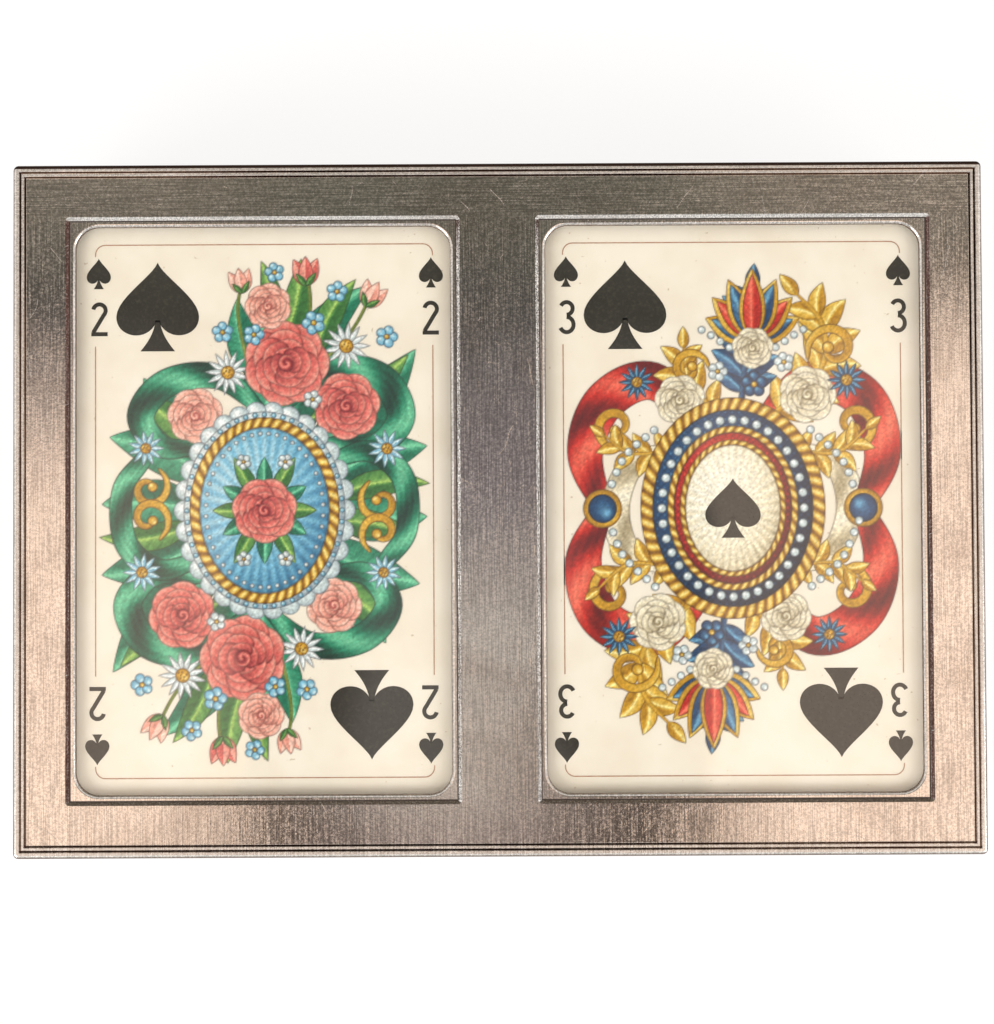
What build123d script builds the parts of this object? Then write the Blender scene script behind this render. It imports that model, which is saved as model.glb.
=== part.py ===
from build123d import *
import os
from math import radians, tan

# Silver box for two packs of playing cards, in millimetres.
# +Z is up, +X runs along the long side, +Y points at the hinge at the back.
# The origin lies under the middle of the closed box, on the surface it stands on.

# The playing card shown in each window, which sets the size of the whole box
card_length = 59.0
card_depth = 89.0
card_corner = 3.5
card_thickness = 0.3

# The frame over the card: how far it covers the card's edges, its flat band and rounded lip
side_cover = 0.9
end_cover = 1.15
aperture_corner = 3.5
bezel_band = 1.0
bezel_overlap = 1.0
bezel_thickness = 0.8
lip_radius = 0.5

# The bevelled opening over each frame, and the plain silver round and between the two
window_bevel = 0.5
window_corner = 0.1
window_gap = 11.6
window_margin = 8.0

# Heights of the closed box and of its lid, and the silver walls
box_height = 36.0
lid_height = 9.0
lid_overhang = 1.5
corner_radius = 0.8
wall = 0.9

# Lid top plate with its rounded rim and two engraved lines
plate_thickness = 1.6
rim_radius = 0.5
rim_under_radius = 0.3
line_inset = 1.1
line_pitch = 0.75
line_width = 0.46
line_depth = 0.23

# Behind the cards
glass_margin = 0.2
glass_thickness = 1.2
panel_thickness = 2.0
lid_recess = 2.0

# Screws that hold the inner panel of the lid
screw_radius = 0.7
screw_head_radius = 1.4
screw_head_angle = 90.0
screw_length = 4.5
screw_slot_width = 0.4
screw_slot_depth = 0.35

# Base of the box
base_lift = 0.5
flange_width = 5.0
board_thickness = 3.0
lining_thickness = 3.0
lining_lip = 1.5
lining_round = 0.5
divider_thickness = 4.0
divider_drop = 1.5
dip_radius = 16.0
dip_depth = 9.0
floor_thickness = 0.8

# Hinge of knuckles on one pin, let into the back edge
hinge_end = 4.5
knuckle_count = 5
knuckle_radius = 1.4
pin_radius = 0.7
open_angle = 100.0
stop_margin = 1.0

# Clearances
card_air = 0.1
pin_fit = 0.05
knuckle_gap = 0.15
lid_gap = 0.15
seat_gap = 0.05
wood_gap = 0.1
lining_gap = 0.25
cloth_gap = 0.3

# Levels, from the bottom up
flange_top = base_lift + wall
board_top = flange_top + board_thickness
parting = box_height - lid_height
lid_band_bottom = parting + lid_gap
panel_bottom = parting + lid_recess
core_bottom = panel_bottom + panel_thickness
plate_bottom = box_height - plate_thickness
core_thickness = plate_bottom - core_bottom
glass_bottom = plate_bottom - glass_thickness
card_bottom = glass_bottom - card_air - card_thickness
lining_top = parting + lining_lip
divider_top = parting - divider_drop

# Sizes of the windows, from the card outwards
aperture_length = card_length - 2 * side_cover
aperture_depth = card_depth - 2 * end_cover
opening_length = aperture_length + 2 * bezel_band
opening_depth = aperture_depth + 2 * bezel_band
window_length = opening_length + 2 * window_bevel
window_depth = opening_depth + 2 * window_bevel
window_x = (window_length + window_gap) / 2
bezel_length = opening_length + 2 * bezel_overlap
bezel_depth = opening_depth + 2 * bezel_overlap
glass_length = card_length + 2 * glass_margin
glass_depth = card_depth + 2 * glass_margin
pocket_length = glass_length + 2 * wood_gap
pocket_depth = glass_depth + 2 * wood_gap

# Plan sizes of the box, from the outside in
lid_length = 2 * (window_length + window_margin) + window_gap
lid_depth = window_depth + 2 * window_margin
body_length = lid_length - 2 * lid_overhang
body_depth = lid_depth - 2 * lid_overhang
inner_length = body_length - 2 * wall
inner_depth = body_depth - 2 * wall
fitted_length = inner_length - 2 * wood_gap
fitted_depth = inner_depth - 2 * wood_gap
lining_length = inner_length - 2 * lining_gap
lining_depth = inner_depth - 2 * lining_gap
wells_length = lining_length - 2 * lining_thickness
wells_depth = lining_depth - 2 * lining_thickness
well_length = (wells_length - divider_thickness) / 2
well_x = (divider_thickness + well_length) / 2

# The screws go through the middle of the core's outer bars
screw_x = (window_x + pocket_length / 2 + fitted_length / 2) / 2
screw_y = (pocket_depth + fitted_depth) / 4

# The hinge's axis lies along X, in line with the inner face of the back wall
hinge_y = inner_depth / 2
hinge_z = parting + lid_gap / 2
hinge_length = body_length - 2 * hinge_end
knuckle_pitch = hinge_length / knuckle_count
knuckle_length = knuckle_pitch - knuckle_gap
bore_radius = pin_radius + pin_fit
relief_radius = knuckle_radius + knuckle_gap
knuckle_planes = [
    Plane.YZ.offset((index - (knuckle_count - 1) / 2) * knuckle_pitch) for index in range(knuckle_count)
]
base_planes = knuckle_planes[0::2]
lid_planes = knuckle_planes[1::2]

both_windows = ((-window_x, 0), (window_x, 0))
sides = (("left", -1), ("right", 1))

os.makedirs("parts", exist_ok=True)


def save(piece, name):
    """Label a finished piece and write it to its own file."""
    piece.part.label = name
    export_step(piece.part, f"parts/{name}.step")


# Cutters shared by several pieces

# The back edges of lid and base are bevelled about the hinge's axis.
# The two bevels meet just past the open position and stop the lid there.
wedge_reach = 2 * wall
wedge_rise = wedge_reach * tan(radians((open_angle + stop_margin) / 2))
with BuildPart() as opening_wedge:
    with BuildSketch(Plane.YZ):
        with Locations((hinge_y, hinge_z)):
            Polygon((0, 0), (wedge_reach, wedge_rise), (wedge_reach, -wedge_rise), align=None)
    extrude(amount=body_length / 2, both=True)

# The wooden lining steps back from the knuckles
with BuildPart() as hinge_rebate:
    with BuildSketch(Plane.YZ):
        with Locations((hinge_y - relief_radius, hinge_z - relief_radius)):
            Rectangle(2 * relief_radius, lining_top, align=(Align.MIN, Align.MIN))
    extrude(amount=hinge_length / 2 + knuckle_gap, both=True)


# Lid

with BuildPart() as lid_top_plate:
    with BuildSketch(Plane.XY.offset(plate_bottom)):
        RectangleRounded(lid_length, lid_depth, corner_radius)
        with Locations(*both_windows):
            RectangleRounded(opening_length, opening_depth, window_corner, mode=Mode.SUBTRACT)
    extrude(amount=plate_thickness)
    top_face = lid_top_plate.faces().sort_by(Axis.Z)[-1]
    bevel_edges = [edge for wire in top_face.inner_wires() for edge in wire.edges()]
    chamfer(bevel_edges, window_bevel)
    fillet(lid_top_plate.faces().sort_by(Axis.Z)[-1].outer_wire().edges(), rim_radius)
    fillet(lid_top_plate.faces().sort_by(Axis.Z)[0].outer_wire().edges(), rim_under_radius)
    # Seats for the window frames, from below
    with BuildSketch(Plane.XY.offset(plate_bottom)):
        with Locations(*both_windows):
            Rectangle(bezel_length + 2 * seat_gap, bezel_depth + 2 * seat_gap)
    extrude(amount=bezel_thickness, mode=Mode.SUBTRACT)
    # Two V-shaped lines engraved round the rim, with mitred corners
    for inset in (line_inset, line_inset + line_pitch):
        line_x = lid_length / 2 - inset
        line_y = lid_depth / 2 - inset
        with BuildLine(Plane.XY.offset(box_height)) as engraved_line:
            Polyline((0, -line_y), (line_x, -line_y), (line_x, line_y), (-line_x, line_y),
                     (-line_x, -line_y), close=True)
        with BuildSketch(Plane.YZ):
            with Locations((-line_y, box_height)):
                Polygon((-line_width / 2, 0), (0, -line_depth), (line_width / 2, 0), align=None)
        sweep(path=engraved_line.wires()[0], transition=Transition.RIGHT, mode=Mode.SUBTRACT)
save(lid_top_plate, "lid_top_plate")

with BuildPart() as lid_side_band:
    with BuildSketch(Plane.XY.offset(lid_band_bottom)):
        RectangleRounded(body_length, body_depth, corner_radius)
        Rectangle(inner_length, inner_depth, mode=Mode.SUBTRACT)
    extrude(amount=plate_bottom - lid_band_bottom)
    add(opening_wedge.part, mode=Mode.SUBTRACT)
    with BuildSketch(*lid_planes):
        with Locations((hinge_y, hinge_z)):
            Circle(knuckle_radius)
    extrude(amount=knuckle_pitch / 2, both=True, mode=Mode.SUBTRACT)
    with BuildSketch(*base_planes):
        with Locations((hinge_y, hinge_z)):
            Circle(relief_radius)
    extrude(amount=knuckle_pitch / 2, both=True, mode=Mode.SUBTRACT)
save(lid_side_band, "lid_side_band")

for side, sign in sides:
    centre = (sign * window_x, 0)

    with BuildPart() as window_bezel:
        with BuildSketch(Plane.XY.offset(plate_bottom)):
            with Locations(centre):
                Rectangle(bezel_length, bezel_depth)
                RectangleRounded(aperture_length, aperture_depth, aperture_corner, mode=Mode.SUBTRACT)
        extrude(amount=bezel_thickness)
        fillet(window_bezel.faces().sort_by(Axis.Z)[-1].inner_wires()[0].edges(), lip_radius)
    save(window_bezel, f"window_bezel_{side}")

    with BuildPart() as window_glass:
        with BuildSketch(Plane.XY.offset(glass_bottom)):
            with Locations(centre):
                Rectangle(glass_length, glass_depth)
        extrude(amount=glass_thickness)
    save(window_glass, f"window_glass_{side}")

    with BuildPart() as display_card:
        with BuildSketch(Plane.XY.offset(card_bottom)):
            with Locations(centre):
                RectangleRounded(card_length, card_depth, card_corner)
        extrude(amount=card_thickness)
    save(display_card, f"display_card_{side}")

    # A pack of grey board presses the card and the glass up to the frame
    with BuildPart() as card_pad:
        with BuildSketch(Plane.XY.offset(core_bottom)):
            with Locations(centre):
                Rectangle(glass_length, glass_depth)
        extrude(amount=card_bottom - core_bottom)
    save(card_pad, f"card_pad_{side}")

with BuildPart() as lid_core_frame:
    with BuildSketch(Plane.XY.offset(core_bottom)):
        Rectangle(fitted_length, fitted_depth)
        with Locations(*both_windows):
            Rectangle(pocket_length, pocket_depth, mode=Mode.SUBTRACT)
    extrude(amount=core_thickness)
    with Locations(Plane.XY.offset(core_bottom)):
        with GridLocations(2 * screw_x, 2 * screw_y, 2, 2):
            Cylinder(screw_radius, screw_length - panel_thickness,
                     align=(Align.CENTER, Align.CENTER, Align.MIN), mode=Mode.SUBTRACT)
save(lid_core_frame, "lid_core_frame")

with BuildPart() as lid_inner_panel:
    with BuildSketch(Plane.XY.offset(panel_bottom)):
        Rectangle(fitted_length, fitted_depth)
    extrude(amount=panel_thickness)
    with Locations(Plane.XY.offset(panel_bottom).rotated((180, 0, 0))):
        with GridLocations(2 * screw_x, 2 * screw_y, 2, 2):
            CounterSinkHole(screw_radius, screw_head_radius, panel_thickness, screw_head_angle)
save(lid_inner_panel, "lid_inner_panel")

with BuildPart() as lid_panel_screws:
    head_height = (screw_head_radius - screw_radius) / tan(radians(screw_head_angle / 2))
    with Locations(Plane.XY.offset(panel_bottom)):
        with GridLocations(2 * screw_x, 2 * screw_y, 2, 2):
            Cylinder(screw_radius, screw_length, align=(Align.CENTER, Align.CENTER, Align.MIN))
            Cone(screw_head_radius, screw_radius, head_height, align=(Align.CENTER, Align.CENTER, Align.MIN))
            Box(2 * screw_head_radius, screw_slot_width, screw_slot_depth,
                align=(Align.CENTER, Align.CENTER, Align.MIN), mode=Mode.SUBTRACT)
save(lid_panel_screws, "lid_panel_screws")


# Base

with BuildPart() as base_side_band:
    with BuildSketch(Plane.XY.offset(base_lift)):
        RectangleRounded(body_length, body_depth, corner_radius)
        Rectangle(inner_length, inner_depth, mode=Mode.SUBTRACT)
    extrude(amount=parting - base_lift)
    # The foot of the wall is turned in under the wooden bottom
    with BuildSketch(Plane.XY.offset(base_lift)):
        Rectangle(inner_length, inner_depth)
        Rectangle(inner_length - 2 * flange_width, inner_depth - 2 * flange_width, mode=Mode.SUBTRACT)
    extrude(amount=wall)
    fillet(base_side_band.faces().sort_by(Axis.Z)[0].outer_wire().edges(), rim_under_radius)
    add(opening_wedge.part, mode=Mode.SUBTRACT)
    with BuildSketch(*base_planes):
        with Locations((hinge_y, hinge_z)):
            Circle(knuckle_radius)
    extrude(amount=knuckle_pitch / 2, both=True, mode=Mode.SUBTRACT)
    with BuildSketch(*lid_planes):
        with Locations((hinge_y, hinge_z)):
            Circle(relief_radius)
    extrude(amount=knuckle_pitch / 2, both=True, mode=Mode.SUBTRACT)
save(base_side_band, "base_side_band")

with BuildPart() as base_board:
    with BuildSketch(Plane.XY.offset(flange_top)):
        Rectangle(fitted_length, fitted_depth)
    extrude(amount=board_thickness)
save(base_board, "base_board")

with BuildPart() as foot_pad:
    with BuildSketch(Plane.XY):
        Rectangle(inner_length - 2 * (flange_width + cloth_gap), inner_depth - 2 * (flange_width + cloth_gap))
    extrude(amount=flange_top)
save(foot_pad, "foot_pad")

# Four strips line the wells, mitred at the corners
lining_strips = (
    ("lining_front", (0, -lining_depth / 2), 0, lining_length),
    ("lining_back", (0, lining_depth / 2), 180, lining_length),
    ("lining_left", (-lining_length / 2, 0), -90, lining_depth),
    ("lining_right", (lining_length / 2, 0), 90, lining_depth),
)
for name, place, turn, length in lining_strips:
    with BuildPart() as lining:
        with BuildSketch(Plane.XY.offset(board_top)):
            with Locations(place):
                Trapezoid(length, lining_thickness, 45, rotation=turn, align=(Align.CENTER, Align.MIN))
        extrude(amount=lining_top - board_top)
        top_edges = lining.faces().sort_by(Axis.Z)[-1].edges()
        fillet(top_edges.sort_by(SortBy.LENGTH)[-2:], lining_round)
        add(hinge_rebate.part, mode=Mode.SUBTRACT)
    save(lining, name)

# A dip in the divider gives the fingers room to lift a pack
with BuildPart() as well_divider:
    with BuildSketch(Plane.YZ):
        with Locations((0, board_top)):
            Rectangle(wells_depth - 2 * wood_gap, divider_top - board_top, align=(Align.CENTER, Align.MIN))
        with Locations((0, divider_top + dip_radius - dip_depth)):
            Circle(dip_radius, mode=Mode.SUBTRACT)
    extrude(amount=divider_thickness / 2, both=True)
save(well_divider, "well_divider")

for side, sign in sides:
    with BuildPart() as well_floor:
        with BuildSketch(Plane.XY.offset(board_top)):
            with Locations((sign * well_x, 0)):
                Rectangle(well_length - 2 * wood_gap, wells_depth - 2 * wood_gap)
        extrude(amount=floor_thickness)
    save(well_floor, f"well_floor_{side}")


# Hinge

for name, planes in (("base_hinge_knuckles", base_planes), ("lid_hinge_knuckles", lid_planes)):
    with BuildPart() as knuckles:
        with BuildSketch(*planes):
            with Locations((hinge_y, hinge_z)):
                Circle(knuckle_radius)
                Circle(bore_radius, mode=Mode.SUBTRACT)
        extrude(amount=knuckle_length / 2, both=True)
    save(knuckles, name)

with BuildPart() as hinge_pin:
    with BuildSketch(Plane.YZ):
        with Locations((hinge_y, hinge_z)):
            Circle(pin_radius)
    extrude(amount=hinge_length / 2, both=True)
save(hinge_pin, "hinge_pin")
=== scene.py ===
"""Looks of a silver card box: finishes for its pieces, prints on its cards, and a plain studio.

Lengths in the classes are in millimetres, and MM turns them to metres. The box stands on z = 0 with
its long side along x and its hinge at the back, towards +y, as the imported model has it.
"""

import logging
import math
from collections.abc import Callable
from dataclasses import dataclass, field
from enum import Enum

import bpy
import numpy as np
from mathutils import Matrix, Vector


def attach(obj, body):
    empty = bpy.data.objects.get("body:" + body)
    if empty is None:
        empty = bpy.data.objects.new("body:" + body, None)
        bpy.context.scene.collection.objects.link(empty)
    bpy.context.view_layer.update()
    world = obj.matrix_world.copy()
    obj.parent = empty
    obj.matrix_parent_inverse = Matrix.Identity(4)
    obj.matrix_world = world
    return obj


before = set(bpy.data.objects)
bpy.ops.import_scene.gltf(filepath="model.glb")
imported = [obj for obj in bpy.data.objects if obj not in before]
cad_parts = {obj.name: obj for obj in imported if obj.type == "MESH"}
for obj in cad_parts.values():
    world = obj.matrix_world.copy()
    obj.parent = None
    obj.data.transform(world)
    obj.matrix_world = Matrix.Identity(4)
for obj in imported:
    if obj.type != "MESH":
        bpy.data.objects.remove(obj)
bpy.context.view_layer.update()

MM = 0.001
PER_MM = 1000.0
LOG = logging.getLogger("card_box")

Socket = bpy.types.NodeSocket
Tree = bpy.types.NodeTree
Array = np.ndarray
Patch = tuple[slice, slice]
Point = tuple[float, float]
Triple = tuple[float, float, float]


class Grain(Enum):
    """The axis that a pattern runs along."""

    ALONG_X = 0
    ALONG_Y = 1

    def steps(self, along: float, across: float) -> Triple:
        """The size of a pattern's steps along x, y and z.

        Args:
            along: its size the way the pattern runs.
            across: its size the other two ways.

        Returns:
            The three sizes.
        """
        return tuple(along if axis == self.value else across for axis in range(3))


def srgb(code: str) -> Array:
    """The sRGB parts of a hex colour.

    Args:
        code: a colour such as "#C8951F".

    Returns:
        Red, green and blue, from 0 to 1.
    """
    return np.array([int(code[i : i + 2], 16) / 255.0 for i in (1, 3, 5)])


def to_linear(parts: Array) -> Array:
    """Turns sRGB parts to linear light, by the curve of the sRGB standard.

    Args:
        parts: the parts, from 0 to 1.

    Returns:
        The same parts in linear light.
    """
    return np.where(parts <= 0.04045, parts / 12.92, ((parts + 0.055) / 1.055) ** 2.4)


def linear(code: str) -> tuple[float, ...]:
    """A hex colour in linear light.

    Args:
        code: a colour such as "#C8951F".

    Returns:
        Red, green, blue and an alpha of one.
    """
    return (*to_linear(srgb(code)).tolist(), 1.0)


def fill(tree: Tree, node: bpy.types.Node, inputs: dict) -> None:
    """Links or fills a node's inputs.

    Args:
        tree: the node tree it is in.
        node: the node.
        inputs: socket name or number to a value, or to the socket that feeds it.
    """
    for key, value in inputs.items():
        if isinstance(value, Socket):
            tree.links.new(value, node.inputs[key])
        else:
            node.inputs[key].default_value = value


def add(tree: Tree, kind: str, inputs: dict | None = None, **settings: object) -> bpy.types.Node:
    """Adds one node, sets it, and links or fills its inputs.

    Args:
        tree: the node tree it goes into.
        kind: the node's type without the word ShaderNode.
        inputs: socket name or number to a value, or to the socket that feeds it.
        settings: the node's own properties.

    Returns:
        The node.
    """
    made = tree.nodes.new("ShaderNode" + kind)
    for name, value in settings.items():
        setattr(made, name, value)
    fill(tree, made, inputs or {})
    return made


def spaced(tree: Tree, size: float | Triple, turn: float = 0.0) -> Socket:
    """Object coordinates measured in pattern steps.

    Args:
        tree: the material's tree.
        size: how many millimetres one step is, the same every way or along x, y and z.
        turn: degrees that the pattern is turned about z.

    Returns:
        The socket with the coordinates.
    """
    place = add(tree, "TexCoord").outputs["Object"]
    turned = add(tree, "Mapping", {"Vector": place, "Rotation": (0.0, 0.0, math.radians(turn))})
    steps = size if isinstance(size, tuple) else (size,) * 3
    scale = tuple(PER_MM / step for step in steps)
    return add(tree, "Mapping", {"Vector": turned.outputs[0], "Scale": scale}).outputs[0]


def noise(
    tree: Tree, where: Socket, detail: float = 2.0, rough: float = 0.5, warp: float = 0.0
) -> Socket:
    """A noise of one step per unit of where.

    Args:
        tree: the material's tree.
        where: the coordinates, in pattern steps.
        detail: how many finer layers it has.
        rough: how strong each finer layer is.
        warp: how far it is bent by itself.

    Returns:
        The socket with the noise, from 0 to 1.
    """
    inputs = {
        "Vector": where, "Scale": 1.0, "Detail": detail, "Roughness": rough, "Distortion": warp
    }
    return add(tree, "TexNoise", inputs).outputs["Fac"]


def remap(
    tree: Tree, value: Socket, low: float, high: float, to: tuple[float, float] = (0.0, 1.0)
) -> Socket:
    """Stretches a value to another range and holds it there, with soft ends.

    Args:
        tree: the material's tree.
        value: the value.
        low: what becomes the range's first end.
        high: what becomes its second end.
        to: the new range.

    Returns:
        The socket with the stretched value.
    """
    inputs = {"Value": value, "From Min": low, "From Max": high, "To Min": to[0], "To Max": to[1]}
    return add(tree, "MapRange", inputs, interpolation_type="SMOOTHSTEP").outputs[0]


def maths(tree: Tree, how: str, a: Socket | float, b: Socket | float = 0.0) -> Socket:
    """One sum on numbers.

    Args:
        tree: the material's tree.
        how: the node's operation, such as ADD, MULTIPLY or ABSOLUTE.
        a: the first number.
        b: the second number, where the operation has one.

    Returns:
        The socket with the result.
    """
    return add(tree, "Math", {0: a, 1: b}, operation=how).outputs[0]


def blend(
    tree: Tree, part: Socket | float, a: Socket | str, b: Socket | str, how: str = "MIX"
) -> Socket:
    """Mixes two colours.

    Args:
        tree: the material's tree.
        part: how much of the second, from 0 to 1.
        a: the first colour, a socket or hex.
        b: the second colour, a socket or hex.
        how: the node's blend type.

    Returns:
        The socket with the mixed colour.
    """
    sides = [linear(c) if isinstance(c, str) else c for c in (a, b)]
    inputs = {"Factor": part, 6: sides[0], 7: sides[1]}
    return add(tree, "Mix", inputs, data_type="RGBA", blend_type=how).outputs[2]


def relief(tree: Tree, height: Socket, depth: float, under: Socket | None = None) -> Socket:
    """A bump in the surface.

    Args:
        tree: the material's tree.
        height: its height, from 0 to 1.
        depth: how many millimetres the height of 1 is.
        under: an earlier bump that it lies on.

    Returns:
        The socket with the bumped normal.
    """
    inputs = {"Height": height, "Distance": depth * MM, "Strength": 1.0}
    if under is not None:
        inputs["Normal"] = under
    return add(tree, "Bump", inputs).outputs[0]


def feed(tree: Tree, shader: bpy.types.Node, **sockets: object) -> None:
    """Fills the shader's sockets with values or links.

    Args:
        tree: the material's tree.
        shader: the shader.
        sockets: each socket's name, with _ for a space, and its value or the socket that feeds it.
    """
    fill(tree, shader, {key.replace("_", " "): value for key, value in sockets.items()})


def blank(name: str) -> tuple[bpy.types.Material, Tree]:
    """Makes a material without nodes.

    Args:
        name: its name.

    Returns:
        The material, and its node tree.
    """
    made = bpy.data.materials.new(name)
    made.use_nodes = True
    made.node_tree.nodes.clear()
    return made, made.node_tree


@dataclass(frozen=True)
class Finish:
    """A surface finish: one material on the principled shader."""

    name: str

    def material(self) -> bpy.types.Material:
        """Makes the material and lets the finish dress its shader.

        Returns:
            The material.
        """
        made, tree = blank(self.name)
        shader = add(tree, "BsdfPrincipled")
        add(tree, "OutputMaterial", {"Surface": shader.outputs[0]})
        self.dress(tree, shader)
        return made

    def dress(self, tree: Tree, shader: bpy.types.Node) -> None:
        """Sets and feeds the shader's sockets.

        Args:
            tree: the material's tree.
            shader: its principled shader.
        """
        raise NotImplementedError


@dataclass(frozen=True)
class Scratches:
    """Short straight scratches, one in each cell of a scattered pattern, turned at random."""

    spacing: float
    length: float
    width: float
    share: float

    def mask(self, tree: Tree) -> Socket:
        """Works the scratches out.

        The cells are a Voronoi pattern in the plane. From each cell's own point the place is turned
        by the cell's random angle, and a scratch is where the across distance is under half its
        width and the along distance under half its length, bent a little by a slow noise.

        Args:
            tree: the material's tree.

        Returns:
            A socket, 1 on a scratch and 0 off it.
        """
        where = spaced(tree, self.spacing)
        sway = noise(tree, spaced(tree, self.length * 1.5), 1.0)
        cells = add(tree, "TexVoronoi", {"Vector": where, "Scale": 1.0}, voronoi_dimensions="2D")
        away = add(
            tree, "VectorMath", {0: where, 1: cells.outputs["Position"]}, operation="SUBTRACT"
        )
        tint = add(tree, "SeparateColor", {0: cells.outputs["Color"]})
        bent = maths(tree, "ADD", tint.outputs[0], maths(tree, "MULTIPLY", sway, 0.35))
        angle = maths(tree, "MULTIPLY", bent, math.tau)
        inputs = {"Vector": away.outputs[0], "Angle": angle}
        turned = add(tree, "VectorRotate", inputs, rotation_type="Z_AXIS")
        parts = add(tree, "SeparateXYZ", {0: turned.outputs[0]})
        along = maths(tree, "ABSOLUTE", parts.outputs[0])
        across = maths(tree, "ABSOLUTE", parts.outputs[1])
        half = self.width / self.spacing / 2
        reach = maths(tree, "MULTIPLY", tint.outputs[2], self.length / self.spacing / 2)
        line = remap(tree, across, half * 0.4, half * 1.3, (1.0, 0.0))
        ends = maths(tree, "LESS_THAN", along, reach)
        some = maths(tree, "LESS_THAN", tint.outputs[1], self.share)
        return maths(tree, "MULTIPLY", maths(tree, "MULTIPLY", line, ends), some)


@dataclass(frozen=True)
class Wear:
    """The marks on a piece of silver, each from 0 to 1: rubbing hairs, pits, scratches, stain."""

    hairs: Socket
    pits: Socket
    cuts: Socket
    stain: Socket


@dataclass(frozen=True)
class SatinSilver(Finish):
    """Silver sheet, rolled flat and rubbed to a satin by hand.

    Rolling leaves it a little wavy, so broad reflections bend. Rubbing leaves fine straight hairs,
    and use leaves short scratches and a thin warm brown tarnish that stays thickest where a cloth
    doesn't reach.
    """

    grain: Grain = Grain.ALONG_X
    wave: float = 0.05
    roughness: float = 0.06
    mottle: float = 0.24
    fresh: str = "#FCF9F4"
    tarnished: str = "#C3B5AA"
    bared: str = "#F4F1EC"
    long_cuts: Scratches = Scratches(9.0, 6.0, 0.08, 0.55)
    short_cuts: Scratches = Scratches(3.1, 1.6, 0.07, 0.5)
    wave_size: float = 26.0
    fog_size: float = 22.0
    pit_size: float = 0.32
    hair_size: Point = (9.0, 0.2)
    pit_depth: float = 0.004
    hair_depth: float = 0.0025
    cut_depth: float = 0.003

    def hairs(self, tree: Tree, grain: Grain) -> Socket:
        """Fine rubbing lines, drawn at 0.2 mm: the real ones are 0.02 mm wide and wouldn't show.

        Args:
            tree: the material's tree.
            grain: the way they run.

        Returns:
            The socket with the lines, from 0 to 1.
        """
        return noise(tree, spaced(tree, grain.steps(*self.hair_size)), 3.0, 0.6)

    def direction(self, tree: Tree) -> Socket:
        """The rubbing lines of this piece.

        Args:
            tree: the material's tree.

        Returns:
            The socket with the lines.
        """
        return self.hairs(tree, self.grain)

    def aged(self, tree: Tree, tint: Socket) -> tuple[Socket, Socket | float]:
        """Where age shows in certain places. A plain piece has none.

        Args:
            tree: the material's tree.
            tint: the colour of plain silver.

        Returns:
            The colour with its age, and the roughness that it adds.
        """
        return tint, 0.0

    def wear(self, tree: Tree) -> Wear:
        """Works out what rubbing and use have left.

        The grain's real pits are 0.05 mm wide and are drawn at 0.32 mm, or they don't show.

        Args:
            tree: the material's tree.

        Returns:
            The marks.
        """
        short_cuts = maths(tree, "MULTIPLY", self.short_cuts.mask(tree), 0.6)
        fog = noise(tree, spaced(tree, self.fog_size), 5.0, 0.62, 0.6)
        return Wear(
            hairs=self.direction(tree),
            pits=noise(tree, spaced(tree, self.pit_size), 2.0, 0.65),
            cuts=maths(tree, "MAXIMUM", self.long_cuts.mask(tree), short_cuts),
            stain=remap(tree, fog, 0.42, 0.72),
        )

    def colour(self, tree: Tree, wear: Wear) -> Socket:
        """Stained silver, darker in its hairs and pits and bared in its scratches.

        Args:
            tree: the material's tree.
            wear: the marks.

        Returns:
            The socket with the colour.
        """
        tint = blend(tree, maths(tree, "MULTIPLY", wear.stain, 0.35), self.fresh, self.tarnished)
        lines = remap(tree, wear.hairs, 0.4, 0.6, (1.0 - self.mottle, 1.0))
        speck = remap(tree, wear.pits, 0.4, 0.6, (1.0 - self.mottle, 1.0))
        worn = maths(tree, "MULTIPLY", lines, speck)
        grey = add(tree, "CombineColor", {0: worn, 1: worn, 2: worn}).outputs[0]
        tint = blend(tree, 1.0, tint, grey, "MULTIPLY")
        return blend(tree, maths(tree, "MULTIPLY", wear.cuts, 0.2), tint, self.bared)

    def dullness(self, tree: Tree, wear: Wear) -> Socket:
        """The roughness: each kind of mark adds a little to that of the clean sheet.

        Args:
            tree: the material's tree.
            wear: the marks.

        Returns:
            The socket with the roughness.
        """
        rough = maths(tree, "ADD", self.roughness, remap(tree, wear.hairs, 0.5, 0.74, (0.0, 0.08)))
        rough = maths(tree, "ADD", rough, remap(tree, wear.pits, 0.45, 0.72, (0.0, 0.07)))
        rough = maths(tree, "ADD", rough, maths(tree, "MULTIPLY", wear.stain, 0.03))
        return maths(tree, "ADD", rough, maths(tree, "MULTIPLY", wear.cuts, 0.12))

    def dress(self, tree: Tree, shader: bpy.types.Node) -> None:
        """Lays waves, hairs, grain, scratches and tarnish over polished silver.

        Args:
            tree: the material's tree.
            shader: its principled shader.
        """
        wear = self.wear(tree)
        bumped = relief(tree, noise(tree, spaced(tree, self.wave_size), 1.5, 0.4), self.wave)
        bumped = relief(tree, wear.hairs, self.hair_depth, bumped)
        bumped = relief(tree, wear.pits, self.pit_depth, bumped)
        bumped = relief(tree, wear.cuts, self.cut_depth, bumped)
        tint, more = self.aged(tree, self.colour(tree, wear))
        rough = maths(tree, "ADD", self.dullness(tree, wear), more)
        feed(tree, shader, Base_Color=tint, Metallic=1.0, Roughness=rough, Normal=bumped)


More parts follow.
